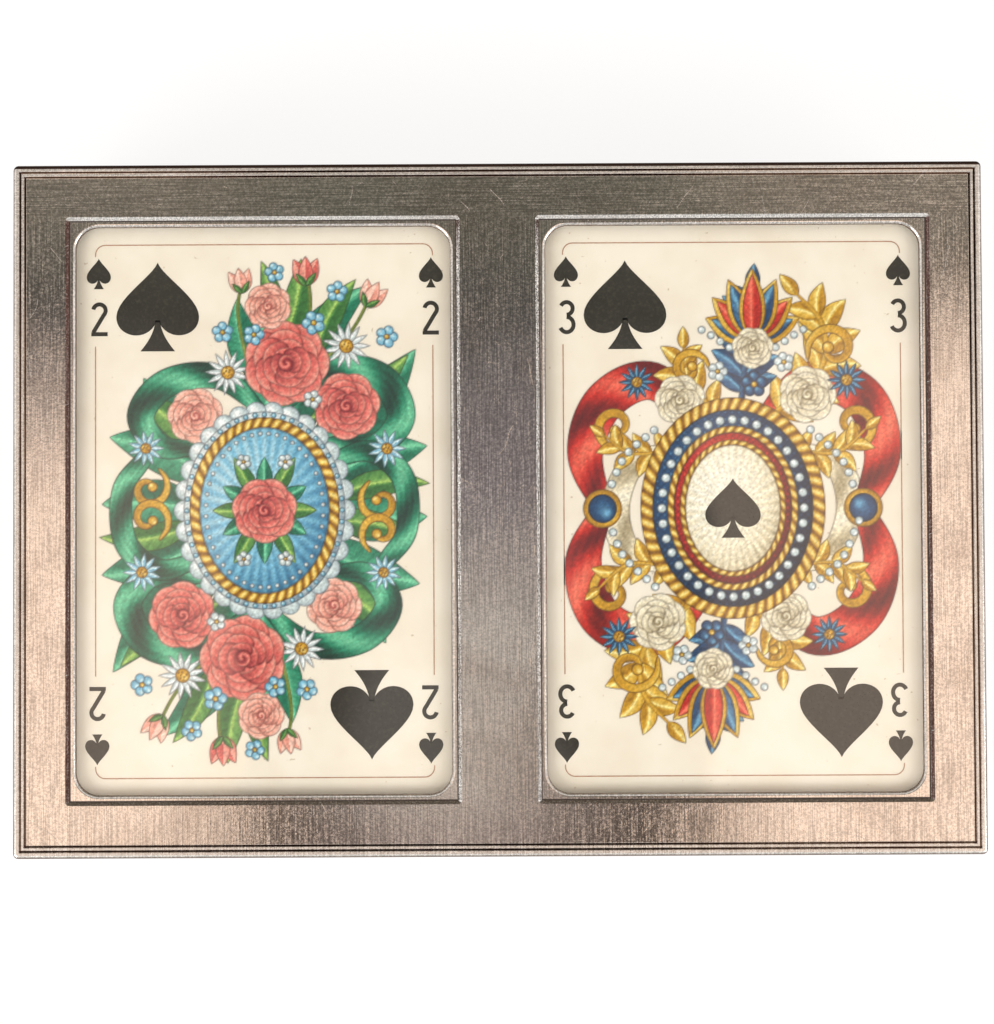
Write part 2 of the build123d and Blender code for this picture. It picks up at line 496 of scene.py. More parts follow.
@dataclass(frozen=True)
class LidSilver(SatinSilver):
    """The lid plate's silver: rubbed along x over the windows, along y between and under them.

    Round its rim the engraved lines, where a cloth doesn't reach, are oxidised brown, and the same
    brown goes on over the turned-down edge as painted shade, near black at the back as painted
    shade. The narrow lands beside the lines are worn dull and bright.
    """

    line_top: float = 35.93
    line_low: float = 35.82
    edge_low: float = 35.45
    rim_x: float = 71.9
    rim_y: float = 50.75
    back: float = 52.3
    face: float = 35.98
    worn: float = 0.5
    turn: Point = (43.0, 47.0)
    bright: str = "#FBF8F3"
    # oxide for the engraved lines, also laid over the turned-down edge as painted shade
    oxide_and_edge_shade: str = "#664A3B"
    # painted shade: near black along the back edge
    painted_back_shade: str = "#3A2B24"

    def direction(self, tree: Tree) -> Socket:
        """Chooses lines along x above the windows and lines along y elsewhere, with a soft change.

        Args:
            tree: the material's tree.

        Returns:
            The socket with the lines.
        """
        place = add(tree, "SeparateXYZ", {0: add(tree, "TexCoord").outputs["Object"]})
        back = remap(tree, place.outputs[1], self.turn[0] * MM, self.turn[1] * MM)
        level = self.hairs(tree, Grain.ALONG_X)
        upright = self.hairs(tree, Grain.ALONG_Y)
        return add(tree, "Mix", {0: back, 2: upright, 3: level}).outputs[0]

    def aged(self, tree: Tree, tint: Socket) -> tuple[Socket, Socket | float]:
        """Darkens the rim below the plate's face, with oxide in the lines and painted shade on the
        turned-down edge, darkest at the back, and lightens its lands.

        Args:
            tree: the material's tree.
            tint: the colour of plain silver.

        Returns:
            The colour with the rim's oxide and painted shade, and the roughness that wear adds to
            the lands.
        """
        x, y, z = add(tree, "SeparateXYZ", {0: add(tree, "TexCoord").outputs["Object"]}).outputs
        out_x = maths(tree, "GREATER_THAN", maths(tree, "ABSOLUTE", x), self.rim_x * MM)
        out_y = maths(tree, "GREATER_THAN", maths(tree, "ABSOLUTE", y), self.rim_y * MM)
        rim = maths(tree, "MAXIMUM", out_x, out_y)
        below = remap(tree, z, self.line_low * MM, self.line_top * MM, (1.0, 0.0))
        above = remap(tree, z, (self.edge_low - 0.1) * MM, self.edge_low * MM)
        # oxide in the engraved lines, and painted shade on the turned-down edge below them
        oxide_and_edge_shade_mask = maths(tree, "MULTIPLY", maths(tree, "MULTIPLY", rim, below), above)
        # painted shade: the back edge, near black
        behind = remap(tree, y, (self.back - 0.1) * MM, (self.back + 0.05) * MM)
        edge = maths(tree, "MULTIPLY", behind, above)
        level = remap(tree, z, self.line_top * MM, self.face * MM, (0.0, 0.4))
        land = maths(tree, "MULTIPLY", rim, level)
        rough = maths(tree, "MULTIPLY", land, self.worn)
        tint = blend(tree, oxide_and_edge_shade_mask, blend(tree, land, tint, self.bright), self.oxide_and_edge_shade)
        return blend(tree, edge, tint, self.painted_back_shade), rough


@dataclass(frozen=True)
class BezelSilver(SatinSilver):
    """The window frame's silver, with brown painted shade: dark in the corner at the foot of the
    lid's bevel, and low on the rounded lip, over the glass."""

    middle_x: float = 35.9
    foot_x: float = 29.6
    foot_y: float = 44.35
    # how far the painted corner shade reaches
    corner_shade_reach: float = 0.2
    lip: float = 34.98
    # painted shade in the corner at the foot of the lid's bevel
    painted_corner_shade: str = "#2E211B"
    # painted shade low on the lip, over the glass
    painted_lip_shade: str = "#5F4230"

    def aged(self, tree: Tree, tint: Socket) -> tuple[Socket, Socket | float]:
        """Darkens the frame's outer edge by the lid's bevel, and its lip's lower part, as painted
        shade.

        Args:
            tree: the material's tree.
            tint: the colour of plain silver.

        Returns:
            The colour with the dirt, and the roughness that it adds.
        """
        x, y, z = add(tree, "SeparateXYZ", {0: add(tree, "TexCoord").outputs["Object"]}).outputs
        from_middle = maths(tree, "SUBTRACT", maths(tree, "ABSOLUTE", x), self.middle_x * MM)
        beside = maths(tree, "SUBTRACT", maths(tree, "ABSOLUTE", from_middle), self.foot_x * MM)
        beyond = maths(tree, "SUBTRACT", maths(tree, "ABSOLUTE", y), self.foot_y * MM)
        outside = maths(tree, "MAXIMUM", beside, beyond)
        # painted shade in the corner at the foot of the lid's bevel
        foot = remap(tree, outside, -self.corner_shade_reach * 1.4 * MM, -self.corner_shade_reach * 0.6 * MM)
        # painted shade on the lip's lower part, over the glass
        low = remap(tree, z, (self.lip - 0.06) * MM, (self.lip + 0.04) * MM, (1.0, 0.0))
        tint = blend(tree, maths(tree, "MULTIPLY", foot, 0.9), tint, self.painted_corner_shade)
        return blend(tree, low, tint, self.painted_lip_shade), maths(tree, "MULTIPLY", foot, 0.3)


@dataclass(frozen=True)
class ClearGlass(Finish):
    """Drawn sheet glass, clear and polished: a thin pane that shines at its surface and lets light
    straight through, so it has no colour of its own and its edges stay hidden in the frame."""

    def material(self) -> bpy.types.Material:
        """A clear pane: see-through under the gloss of both faces, 2 f / (1 + f), on the upper one.

        Returns:
            The material.
        """
        made, tree = blank(self.name)
        front = maths(tree, "SUBTRACT", 1.0, add(tree, "NewGeometry").outputs["Backfacing"])
        one = maths(tree, "MULTIPLY", add(tree, "Fresnel", {"IOR": 1.5}).outputs[0], front)
        share = maths(
            tree, "DIVIDE", maths(tree, "MULTIPLY", one, 2.0), maths(tree, "ADD", one, 1.0)
        )
        through = add(tree, "BsdfTransparent", {"Color": (0.985, 0.99, 0.985, 1.0)}).outputs[0]
        shine = add(
            tree, "BsdfGlossy", {"Color": (1.0, 1.0, 1.0, 1.0), "Roughness": 0.03}
        ).outputs[0]
        both = add(tree, "MixShader", {0: share, 1: through, 2: shine}).outputs[0]
        add(tree, "OutputMaterial", {"Surface": both})
        return made


@dataclass(frozen=True)
class PlayingCard(Finish):
    """Old glazed pasteboard playing card: smooth cream paper, slightly yellowed and specked."""

    def paper(self, tree: Tree) -> Socket:
        """The bare paper's colour: cloudy yellowing, faint fibres and a few brown specks.

        Args:
            tree: the material's tree.

        Returns:
            The socket with the colour.
        """
        cloud = noise(tree, spaced(tree, 9.0), 4.0, 0.6)
        fibre = noise(tree, spaced(tree, (0.25, 1.1, 1.0), 20.0), 3.0, 0.7)
        speck = noise(tree, spaced(tree, 0.7), 1.0, 0.4)
        tone = blend(tree, remap(tree, cloud, 0.35, 0.7), "#F8EFE0", "#F2E7D5")
        tone = blend(tree, remap(tree, fibre, 0.55, 0.8, (0.0, 0.3)), tone, "#E8DBC6")
        return blend(tree, remap(tree, speck, 0.76, 0.8, (0.0, 0.5)), tone, "#B79B78")

    def dress(self, tree: Tree, shader: bpy.types.Node) -> None:
        """Paper colour with the slight unevenness of rolled pasteboard.

        Args:
            tree: the material's tree.
            shader: its principled shader.
        """
        uneven = noise(tree, spaced(tree, 0.8), 3.0, 0.6)
        tint, bumped = self.paper(tree), relief(tree, uneven, 0.004)
        feed(tree, shader, Base_Color=tint, Roughness=0.5, IOR=1.48, Normal=bumped)


@dataclass(frozen=True)
class Mahogany(Finish):
    """Mahogany, planed and French polished: straight red-brown grain, dark pores, satin shine."""

    grain: Grain = Grain.ALONG_X
    light: str = "#8A4A2A"
    dark: str = "#54260F"
    ribbon: Point = (70.0, 4.0)
    line: Point = (45.0, 0.6)
    pore: Point = (2.6, 0.22)

    def dress(self, tree: Tree, shader: bpy.types.Node) -> None:
        """Broad ribbons of tone, fine growth lines and short dark pores, all along the grain.

        Args:
            tree: the material's tree.
            shader: its principled shader.
        """
        broad = noise(tree, spaced(tree, self.grain.steps(*self.ribbon)), 3.0, 0.6, 0.4)
        fine = noise(tree, spaced(tree, self.grain.steps(*self.line)), 3.0, 0.65)
        pit = remap(tree, noise(tree, spaced(tree, self.grain.steps(*self.pore)), 2.0), 0.62, 0.72)
        tone = blend(tree, remap(tree, broad, 0.3, 0.7), self.light, self.dark)
        tone = blend(tree, remap(tree, fine, 0.4, 0.75, (0.0, 0.55)), tone, self.dark)
        tone = blend(tree, maths(tree, "MULTIPLY", pit, 0.75), tone, "#2A1208")
        rough = maths(tree, "ADD", 0.3, maths(tree, "MULTIPLY", fine, 0.15))
        bumped = relief(tree, maths(tree, "SUBTRACT", 1.0, pit), 0.02)
        feed(tree, shader, Base_Color=tone, Roughness=rough, IOR=1.5, Normal=bumped)
        feed(tree, shader, Coat_Weight=0.35, Coat_Roughness=0.22)


@dataclass(frozen=True)
class WoolFelt(Finish):
    """Pressed wool felt or baize: matt, with a short nap of crossing fibres that catches light."""

    light: str = "#2E6B45"
    dark: str = "#174028"

    def dress(self, tree: Tree, shader: bpy.types.Node) -> None:
        """Crossing fibre noises for colour and height, a cloudy lay of the nap, and a soft sheen.

        Args:
            tree: the material's tree.
            shader: its principled shader.
        """
        one = noise(tree, spaced(tree, (0.22, 1.6, 0.6), 25.0), 3.0, 0.7)
        two = noise(tree, spaced(tree, (1.6, 0.22, 0.6), -10.0), 3.0, 0.7)
        cloud = noise(tree, spaced(tree, 12.0), 3.0, 0.6)
        nap = maths(tree, "MULTIPLY", maths(tree, "ADD", one, two), 0.5)
        tone = blend(tree, remap(tree, nap, 0.38, 0.62), self.dark, self.light)
        tone = blend(tree, remap(tree, cloud, 0.35, 0.7, (0.0, 0.3)), tone, self.dark)
        feed(
            tree, shader, Base_Color=tone, Roughness=0.95, IOR=1.45, Normal=relief(tree, nap, 0.12)
        )
        feed(tree, shader, Sheen_Weight=0.35, Sheen_Roughness=0.5)


@dataclass(frozen=True)
class GreyBoard(Finish):
    """Millboard of pulped paper: matt warm grey, flecked with lighter and darker fibres."""

    def dress(self, tree: Tree, shader: bpy.types.Node) -> None:
        """Grey with flecks and a slightly fuzzy face.

        Args:
            tree: the material's tree.
            shader: its principled shader.
        """
        pulp = noise(tree, spaced(tree, 0.5), 4.0, 0.7)
        fleck = noise(tree, spaced(tree, (0.3, 1.2, 0.5), 40.0), 2.0, 0.5)
        tone = blend(tree, remap(tree, pulp, 0.35, 0.65), "#7C7A75", "#8F8C86")
        tone = blend(tree, remap(tree, fleck, 0.66, 0.74, (0.0, 0.6)), tone, "#55524D")
        feed(
            tree, shader, Base_Color=tone, Roughness=0.9, IOR=1.45, Normal=relief(tree, pulp, 0.03)
        )


@dataclass(frozen=True)
class TurnedBrass(Finish):
    """Brass screws turned on a lathe: fine rings round each head."""

    x: float = 68.6
    y: float = 47.6
    ring: float = 0.12

    def dress(self, tree: Tree, shader: bpy.types.Node) -> None:
        """Rings about each of the four heads, whose places mirror one another in x and y.

        Args:
            tree: the material's tree.
            shader: its principled shader.
        """
        place = add(tree, "SeparateXYZ", {0: add(tree, "TexCoord").outputs["Object"]})
        off = [
            maths(tree, "SUBTRACT", maths(tree, "ABSOLUTE", place.outputs[i]), centre * MM)
            for i, centre in enumerate((self.x, self.y))
        ]
        squares = maths(
            tree, "ADD", maths(tree, "POWER", off[0], 2.0), maths(tree, "POWER", off[1], 2.0)
        )
        rings = maths(tree, "MULTIPLY", maths(tree, "SQRT", squares), math.tau * PER_MM / self.ring)
        bumped = relief(tree, maths(tree, "SINE", rings), 0.004)
        dull = noise(tree, spaced(tree, 1.5), 4.0, 0.6)
        tone = blend(tree, remap(tree, dull, 0.35, 0.75), "#D8B25C", "#9A7434")
        rough = remap(tree, dull, 0.3, 0.8, (0.22, 0.42))
        feed(tree, shader, Base_Color=tone, Metallic=1.0, Roughness=rough, Normal=bumped)


@dataclass(frozen=True)
class DrawnWire(Finish):
    """Steel wire drawn through a die: fine lines along its length and a cold grey shine."""

    def dress(self, tree: Tree, shader: bpy.types.Node) -> None:
        """Draw lines along x, with a trace of rust in spots.

        Args:
            tree: the material's tree.
            shader: its principled shader.
        """
        lines = noise(tree, spaced(tree, (20.0, 0.15, 0.15)), 2.0, 0.6)
        spots = noise(tree, spaced(tree, 1.2), 4.0, 0.7)
        tone = blend(tree, remap(tree, lines, 0.3, 0.7), "#8E8D8B", "#BDBBB8")
        tone = blend(tree, remap(tree, spots, 0.68, 0.78, (0.0, 0.6)), tone, "#6B4630")
        bumped = relief(tree, lines, 0.004)
        feed(tree, shader, Base_Color=tone, Metallic=1.0, Roughness=0.32, Normal=bumped)


@dataclass(frozen=True)
class Inks:
    """Three printing inks of one colour, for its shadows, its body and its lights."""

    dark: str
    body: str
    light: str

    def shade(self, light: Array) -> Array:
        """Mixes the inks.

        Each point's colour runs straight from dark at 0 through body at one half to light at 1.

        Args:
            light: how light each point is.

        Returns:
            Colours, with one more axis than light.
        """
        part = np.clip(light, 0.0, 1.0)[..., None] * 2.0
        dark, body, pale = srgb(self.dark), srgb(self.body), srgb(self.light)
        return np.where(
            part < 1.0, dark + (body - dark) * part, body + (pale - body) * (part - 1.0)
        )


EMERALD = Inks("#07332A", "#14795A", "#77CDA2")
LEAF = Inks("#1B4423", "#3F7F3C", "#A6C968")
OLIVE = Inks("#3B4A1B", "#7D8F3A", "#CFD37E")
CORAL = Inks("#8C2630", "#DB6A61", "#F9C6B0")
BLUSH = Inks("#B45A55", "#F0A894", "#FDE6D6")
SKY = Inks("#2C6C93", "#79B9D4", "#DDF0F2")
GOLD = Inks("#74480E", "#D29F27", "#FBE99A")
CRIMSON = Inks("#5E0B10", "#C4251C", "#F47B60")
NAVY = Inks("#0A1A2E", "#1C4A74", "#6FAACB")
CREAM = Inks("#A08F6C", "#E8DCBE", "#FDF9EC")
PEARL = Inks("#73889A", "#C7D5D6", "#FFFFFF")
KEY = "#2A1D16"


def smooth(points: list[Point], count: int = 48) -> Array:
    """A smooth line through points.

    Between each two points it is the Catmull-Rom cubic, which leaves each point in the direction
    from the point before it to the one after it.

    Args:
        points: the points, at least two.
        count: how many points the line gets.

    Returns:
        An array of count points.
    """
    knots = np.array(points, dtype=float)
    knots = np.vstack([2 * knots[0] - knots[1], knots, 2 * knots[-1] - knots[-2]])
    place = np.linspace(0.0, len(points) - 1 - 1e-6, count)
    start = place.astype(int)
    t = (place - start)[:, None]
    a, b, c, d = (knots[start + i] for i in range(4))
    return 0.5 * (
        2 * b + (c - a) * t + (2 * a - 5 * b + 4 * c - d) * t**2 + (3 * b - a - 3 * c + d) * t**3
    )


class Ground(Enum):
    """What an oval field of ink is filled with."""

    PLAIN = "plain"
    RAYS = "rays"
    DIAPER = "small diaper of lozenges"


@dataclass
class InkSheet:
    """The drawing on one card: the ink's colour and cover at each point of a fine grid, in mm.

    turned is 1 or -1. At -1 each motif is laid turned half round the card's middle, as the other
    end of a playing card is.
    """

    width: float = 52.0
    height: float = 80.0
    step: float = 0.17
    turned: int = 1
    x: Array = field(init=False)
    y: Array = field(init=False)
    colour: Array = field(init=False)
    cover: Array = field(init=False)

    def __post_init__(self) -> None:
        """Starts with a grid that has no ink on it."""
        columns, rows = round(self.width / self.step), round(self.height / self.step)
        self.x = (np.arange(columns + 1) - columns / 2) * self.step
        self.y = (np.arange(rows + 1) - rows / 2) * self.step
        self.colour = np.ones((rows + 1, columns + 1, 3))
        self.cover = np.zeros((rows + 1, columns + 1))

    def near(self, x: float, y: float, reach: float) -> tuple[Patch, Array, Array]:
        """The grid's points near a place.

        Args:
            x: the place across.
            y: the place up.
            reach: how far along x and along y they may be from it.

        Returns:
            Their part of the grid, and how far each is from the place across and up.
        """
        x, y = x * self.turned, y * self.turned
        left, right = np.searchsorted(self.x, (x - reach, x + reach))
        low, high = np.searchsorted(self.y, (y - reach, y + reach))
        across, up = np.meshgrid(self.x[left:right] - x, self.y[low:high] - y)
        return (slice(low, high), slice(left, right)), across * self.turned, up * self.turned

    def lay(self, where: Patch, outside: Array, colour: Array, strength: float = 1.0) -> None:
        """Lays ink over what is there.

        Args:
            where: the part of the grid.
            outside: how far each point is outside the motif, in millimetres, negative inside.
            colour: one colour, or one for each point.
            strength: how much of the ink under it is hidden.
        """
        mask = np.clip(0.5 - outside / self.step, 0.0, 1.0) * strength
        under = self.cover[where] * (1.0 - mask)
        total = np.maximum(mask + under, 1e-6)[..., None]
        mixed = colour * mask[..., None] + self.colour[where] * under[..., None]
        self.colour[where] = mixed / total
        self.cover[where] = mask + under

    def motif(
        self, where: Patch, outside: Array, inks: Inks, light: Array, line: float = 0.75
    ) -> None:
        """Lays a shaded motif with a dark key line just inside its edge.

        Args:
            where: the part of the grid.
            outside: how far each point is outside the motif, in millimetres, negative inside.
            inks: its inks.
            light: how light each point is.
            line: the strength of its key line.
        """
        colour = inks.shade(light)
        edge = (np.clip(1.0 + outside / 0.26, 0.0, 1.0) * line)[..., None]
        self.lay(where, outside, colour + (srgb(KEY) * 0.6 + srgb(inks.dark) * 0.4 - colour) * edge)

    def leaf(
        self,
        x: float,
        y: float,
        angle: float,
        length: float,
        width: float,
        inks: Inks,
        bend: float = 0.0,
        veins: int = 6,
        lift: float = 0.0,
    ) -> None:
        """A leaf or petal from its foot at x, y towards angle.

        Its half width grows and falls as the sine of the way along, and its middle line bows by
        bend times its length. One half is lighter than the other, the middle rib is light, and side
        veins run off it at a slant.

        Args:
            x: the foot's place across.
            y: the foot's place up.
            angle: the way it points, in degrees.
            length: its length.
            width: its full width.
            inks: its inks.
            bend: how much it bows.
            veins: how many veins, or none.
            lift: how much lighter it is than usual.
        """
        where, across, up = self.near(x, y, length * 1.12)
        turn = math.radians(angle)
        u = (across * math.cos(turn) + up * math.sin(turn)) / length
        v = up * math.cos(turn) - across * math.sin(turn) - bend * length * 4 * u * (1 - u)
        inner = np.clip(u, 0.0, 1.0)
        half = 0.5 * width * np.clip(np.sin(np.pi * inner**0.8), 0.0, 1.0) ** 0.85 + 0.02
        outside = np.maximum(np.abs(v) - half, np.maximum(-u, u - 1.0) * length)
        side = np.clip(v / half, -1.0, 1.0)
        light = 0.42 + lift + 0.2 * np.sign(side) * (1 - np.abs(side) ** 2) + 0.22 * inner
        if veins:
            vein = np.cos(2 * np.pi * (inner * veins - np.abs(side) * 0.9))
            rib = np.exp(-((v / (0.07 * width + 0.08)) ** 2))
            light = light - 0.14 * np.clip(vein - 0.3, 0, 1) + 0.45 * rib
        self.motif(where, outside, inks, light)

    def disc(
        self,
        x: float,
        y: float,
        size: float,
        inks: Inks,
        tall: float = 1.0,
        line: float = 0.75,
        lift: float = 0.0,
    ) -> None:
        """A round or upright oval boss, lit from the upper left.

        Its lightness falls as the square of the way out, and a soft round light is added.

        Args:
            x: its middle across.
            y: its middle up.
            size: its radius across.
            inks: its inks.
            tall: its height as a part of its width.
            line: the strength of its key line.
            lift: how much lighter it is than usual.
        """
        where, across, up = self.near(x, y, size * max(tall, 1.0) * 1.1 + 0.2)
        u, v = across / size, up / (size * tall)
        far = np.hypot(u, v)
        spot = np.exp(-((u + 0.32) ** 2 + (v - 0.35) ** 2) * 7.0)
        light = 0.62 + lift - 0.35 * far**2 + 0.45 * spot
        self.motif(where, (far - 1.0) * size * min(tall, 1.0), inks, light, line)

    def rose(self, x: float, y: float, size: float, inks: Inks, turn: float = 0.0) -> None:
        """A full rose: rings of round petals, the outer laid first, round a coiled heart.

        Each petal is an oval whose colour runs from dark at the rose's middle to light at its lip.

        Args:
            x: its middle across.
            y: its middle up.
            size: its radius.
            inks: its inks.
            turn: degrees that it is turned.
        """
        rings = (
            (7, 0.66, 0.40, 0.08),
            (6, 0.47, 0.37, 0.04),
            (5, 0.31, 0.31, 0.0),
            (4, 0.16, 0.24, -0.06),
        )
        for ring, (count, out, reach, lift) in enumerate(rings):
            for petal in range(count):
                angle = math.radians(turn + 360.0 / count * petal + ring * 37.0)
                px, py = x + out * size * math.cos(angle), y + out * size * math.sin(angle)
                where, across, up = self.near(px, py, reach * size * 1.35)
                u = (across * math.cos(angle) + up * math.sin(angle)) / (reach * size * 0.88)
                v = (up * math.cos(angle) - across * math.sin(angle)) / (reach * size * 1.22)
                far = np.hypot(u, v * (1 + 0.12 * u))
                lip = 0.3 * np.clip(far - 0.62, 0, 1) * (u > -0.2)
                light = 0.34 + lift + 0.36 * u + lip - 0.12 * v * math.cos(angle)
                light = light + 0.05 * np.cos(v * 16.0)
                self.motif(where, (far - 1.0) * reach * size * 0.9, inks, light, 0.6)
        where, across, up = self.near(x, y, 0.22 * size)
        far, way = np.hypot(across, up) / (0.2 * size), np.arctan2(up, across)
        self.motif(where, (far - 1.0) * 0.2 * size, inks, 0.3 + 0.35 * np.sin(way + far * 7.0), 0.6)

    def daisy(
        self,
        x: float,
        y: float,
        size: float,
        inks: Inks,
        heart: Inks = GOLD,
        count: int = 12,
        turn: float = 0.0,
    ) -> None:
        """A daisy: narrow petals round a domed heart with seeds.

        Args:
            x: its middle across.
            y: its middle up.
            size: its radius.
            inks: the petals' inks.
            heart: the heart's inks.
            count: how many petals.
            turn: degrees that it is turned.
        """
        for petal in range(count):
            self.leaf(
                x, y, turn + 360.0 / count * petal, size, size * 3.4 / count, inks, 0.0, 0, 0.22
            )
        self.disc(x, y, size * 0.3, heart)
        for seed in range(7):
            angle = seed * 2.4
            out = size * 0.065 * math.sqrt(seed + 0.5) * 1.2
            self.disc(
                x + out * math.cos(angle), y + out * math.sin(angle), 0.16, heart, 1.0, 0.0, -0.45
            )

    def cup(self, x: float, y: float, size: float, inks: Inks, turn: float = 0.0) -> None:
        """A small flower of five round petals with a gold eye.

        Args:
            x: its middle across.
            y: its middle up.
            size: its radius.
            inks: the petals' inks.
            turn: degrees that it is turned.
        """
        for petal in range(5):
            angle = math.radians(turn + 72.0 * petal)
            out = size * 0.56
            self.disc(
                x + out * math.cos(angle), y + out * math.sin(angle), size * 0.44, inks, 1.0, 0.7
            )
        self.disc(x, y, size * 0.24, GOLD)

    def bud(self, x: float, y: float, angle: float, size: float, inks: Inks) -> None:
        """A closing bud: three petals in a green cup.

        Args:
            x: its foot across.
            y: its foot up.
            angle: the way it points, in degrees.
            size: its length.
            inks: the petals' inks.
        """
        for spread in (24.0, -24.0, 0.0):
            self.leaf(x, y, angle + spread, size, size * 0.5, inks, 0.0, 0, 0.08)
        for spread in (38.0, -38.0):
            self.leaf(x, y, angle + spread, size * 0.55, size * 0.22, LEAF, 0.0, 0)

    def track(self, path: Array, x: Array, y: Array) -> tuple[Array, Array, Array]:
        """How each point lies along a line.

        Each stretch of the line gives the nearest point on itself, and the nearest of all counts.

        Args:
            path: the line's points.
            x: across places of the points.
            y: up places of the points.

        Returns:
            The distance from the line, positive on its left and negative on its right, the part of
            the line's length passed, and the plain distance.
        """
        ways = np.diff(path, axis=0)
        sizes = np.hypot(ways[:, 0], ways[:, 1])
        passed = np.concatenate([[0.0], np.cumsum(sizes)]) / sizes.sum()
        best, side, along = np.full(x.shape, 1e9), np.zeros(x.shape), np.zeros(x.shape)
        for (ax, ay), (wx, wy), size, before, after in zip(path, ways, sizes, passed, passed[1:]):
            t = np.clip(((x - ax) * wx + (y - ay) * wy) / size**2, 0.0, 1.0)
            dx, dy = x - ax - t * wx, y - ay - t * wy
            far = np.hypot(dx, dy)
            closer = far < best
            best = np.where(closer, far, best)
            side = np.where(closer, np.sign(wx * dy - wy * dx) * far, side)
            along = np.where(closer, before + t * (after - before), along)
        return side, along, best

    def band(
        self,
        points: list[Point],
        width: float,
        inks: Inks,
        ends: Point = (0.3, 0.3),
        folds: float = 2.0,
        sheen: float = 0.4,
        threads: float = 0.05,
        line: float = 0.75,
    ) -> None:
        """A ribbon, stem or cord along a smooth line.

        Its half width swells from the first end's part to full and back to the last end's part. The
        light goes up and down as a sine along it, slanted across, as the folds of satin do.

        Args:
            points: the line's points.
            width: its full width.
            inks: its inks.
            ends: the part of the width at each end.
            folds: how many folds.
            sheen: how strong they are.
            threads: how strong the fine lines along it are.
            line: the strength of its key line.
        """
        path = smooth(points)
        middle = (path.min(axis=0) + path.max(axis=0)) / 2
        reach = float((path.max(axis=0) - path.min(axis=0)).max()) / 2 + width
        where, across, up = self.near(float(middle[0]), float(middle[1]), reach)
        side, along, far = self.track(path - middle, across, up)
        swell = np.sin(np.pi * np.clip(along, 0.001, 0.999)) ** 0.6
        part = (ends[0] * (1 - along) + ends[1] * along) * (1 - swell) + swell
        half = 0.5 * width * part
        over = np.clip(side / np.maximum(half, 0.05), -1.0, 1.0)
        light = 0.5 + sheen * np.sin(2 * np.pi * folds * along + 1.6 * over) * (1 - 0.3 * over**2)
        light = light + 0.12 * over + threads * np.cos(over * 13.0 + 3.0 * np.sin(along * 9.0))
        self.motif(where, far - half, inks, light, line)

    def scroll(
        self,
        x: float,
        y: float,
        size: float,
        angle: float,
        hand: int,
        inks: Inks,
        width: float,
        turns: float = 1.1,
    ) -> None:
        """A scroll that coils into a bead.

        The line's radius falls from size to a fifth of it, as the 0.85th power of the way along,
        while it goes round its middle.

        Args:
            x: its middle across.
            y: its middle up.
            size: its outer radius.
            angle: where the line starts, in degrees.
            hand: 1 to go round to the left, -1 to the right.
            inks: its inks.
            width: the line's width.
            turns: how many times it goes round.
        """
        way = np.linspace(0.0, 1.0, 14)
        round_ = math.radians(angle) + hand * way * turns * 2 * math.pi
        radius = size * (1.0 - 0.8 * way**0.85)
        points = [(x + r * math.cos(a), y + r * math.sin(a)) for r, a in zip(radius, round_)]
        self.band(points, width, inks, (0.35, 0.55), 1.0, 0.12, 0.0)
        self.disc(points[-1][0], points[-1][1], width * 0.62, inks)

    def plume(
        self, points: list[Point], width: float, inks: Inks, lobes: int = 6, rib: bool = True
    ) -> None:
        """An acanthus leaf: lobes off both sides of a bowed rib, the lowest first, one at the tip.

        Args:
            points: the rib's points.
            width: its width.
            inks: its inks.
            lobes: how many lobes on each side.
            rib: whether the rib shows.
        """
        path = smooth(points, 40)
        ways = np.gradient(path, axis=0)
        for lobe in range(lobes):
            part = 0.06 + 0.84 * lobe / lobes
            i = int(part * 39)
            heading = math.degrees(math.atan2(ways[i, 1], ways[i, 0]))
            long = width * (0.45 + 0.75 * math.sin(math.pi * (0.25 + 0.65 * part)))
            for hand in (1, -1):
                way = heading + hand * (62 - 26 * part)
                self.leaf(path[i, 0], path[i, 1], way, long, long * 0.52, inks, hand * -0.09, 3)
        heading = math.degrees(math.atan2(ways[-1, 1], ways[-1, 0]))
        self.leaf(path[-3, 0], path[-3, 1], heading, width * 0.8, width * 0.42, inks, 0.0, 3)
        if rib:
            self.band(points, width * 0.16, inks, (1.2, 0.3), 0.5, 0.1, 0.0, 0.35)

    def oval(
        self,
        size: Point,
        inks: Inks,
        ground: Ground = Ground.PLAIN,
        x: float = 0.0,
        y: float = 0.0,
        lift: float = 0.0,
    ) -> None:
        """An oval field, lighter towards one side.

        Args:
            size: its half width and half height.
            inks: its inks.
            ground: what fills it.
            x: its middle across.
            y: its middle up.
            lift: how much lighter it is than usual.
        """
        where, across, up = self.near(x, y, max(size) * 1.05)
        u, v = across / size[0], up / size[1]
        far = np.hypot(u, v) + 1e-6
        slope = np.hypot(u / size[0], v / size[1]) / far
        light = 0.5 + lift + 0.16 * (v - u) - 0.3 * far**3
        if ground is Ground.RAYS:
            light = light + 0.13 * np.cos(np.arctan2(v, u) * 36.0) * np.clip(far * 1.4, 0, 1)
        if ground is Ground.DIAPER:
            weave = np.cos((across + up) * np.pi / 1.05) * np.cos((across - up) * np.pi / 1.05)
            light = light + 0.3 * np.clip(weave - 0.62, 0, 1) * 2.4 - 0.16 * (np.abs(weave) < 0.12)
        self.motif(where, (far - 1.0) / slope, inks, light)

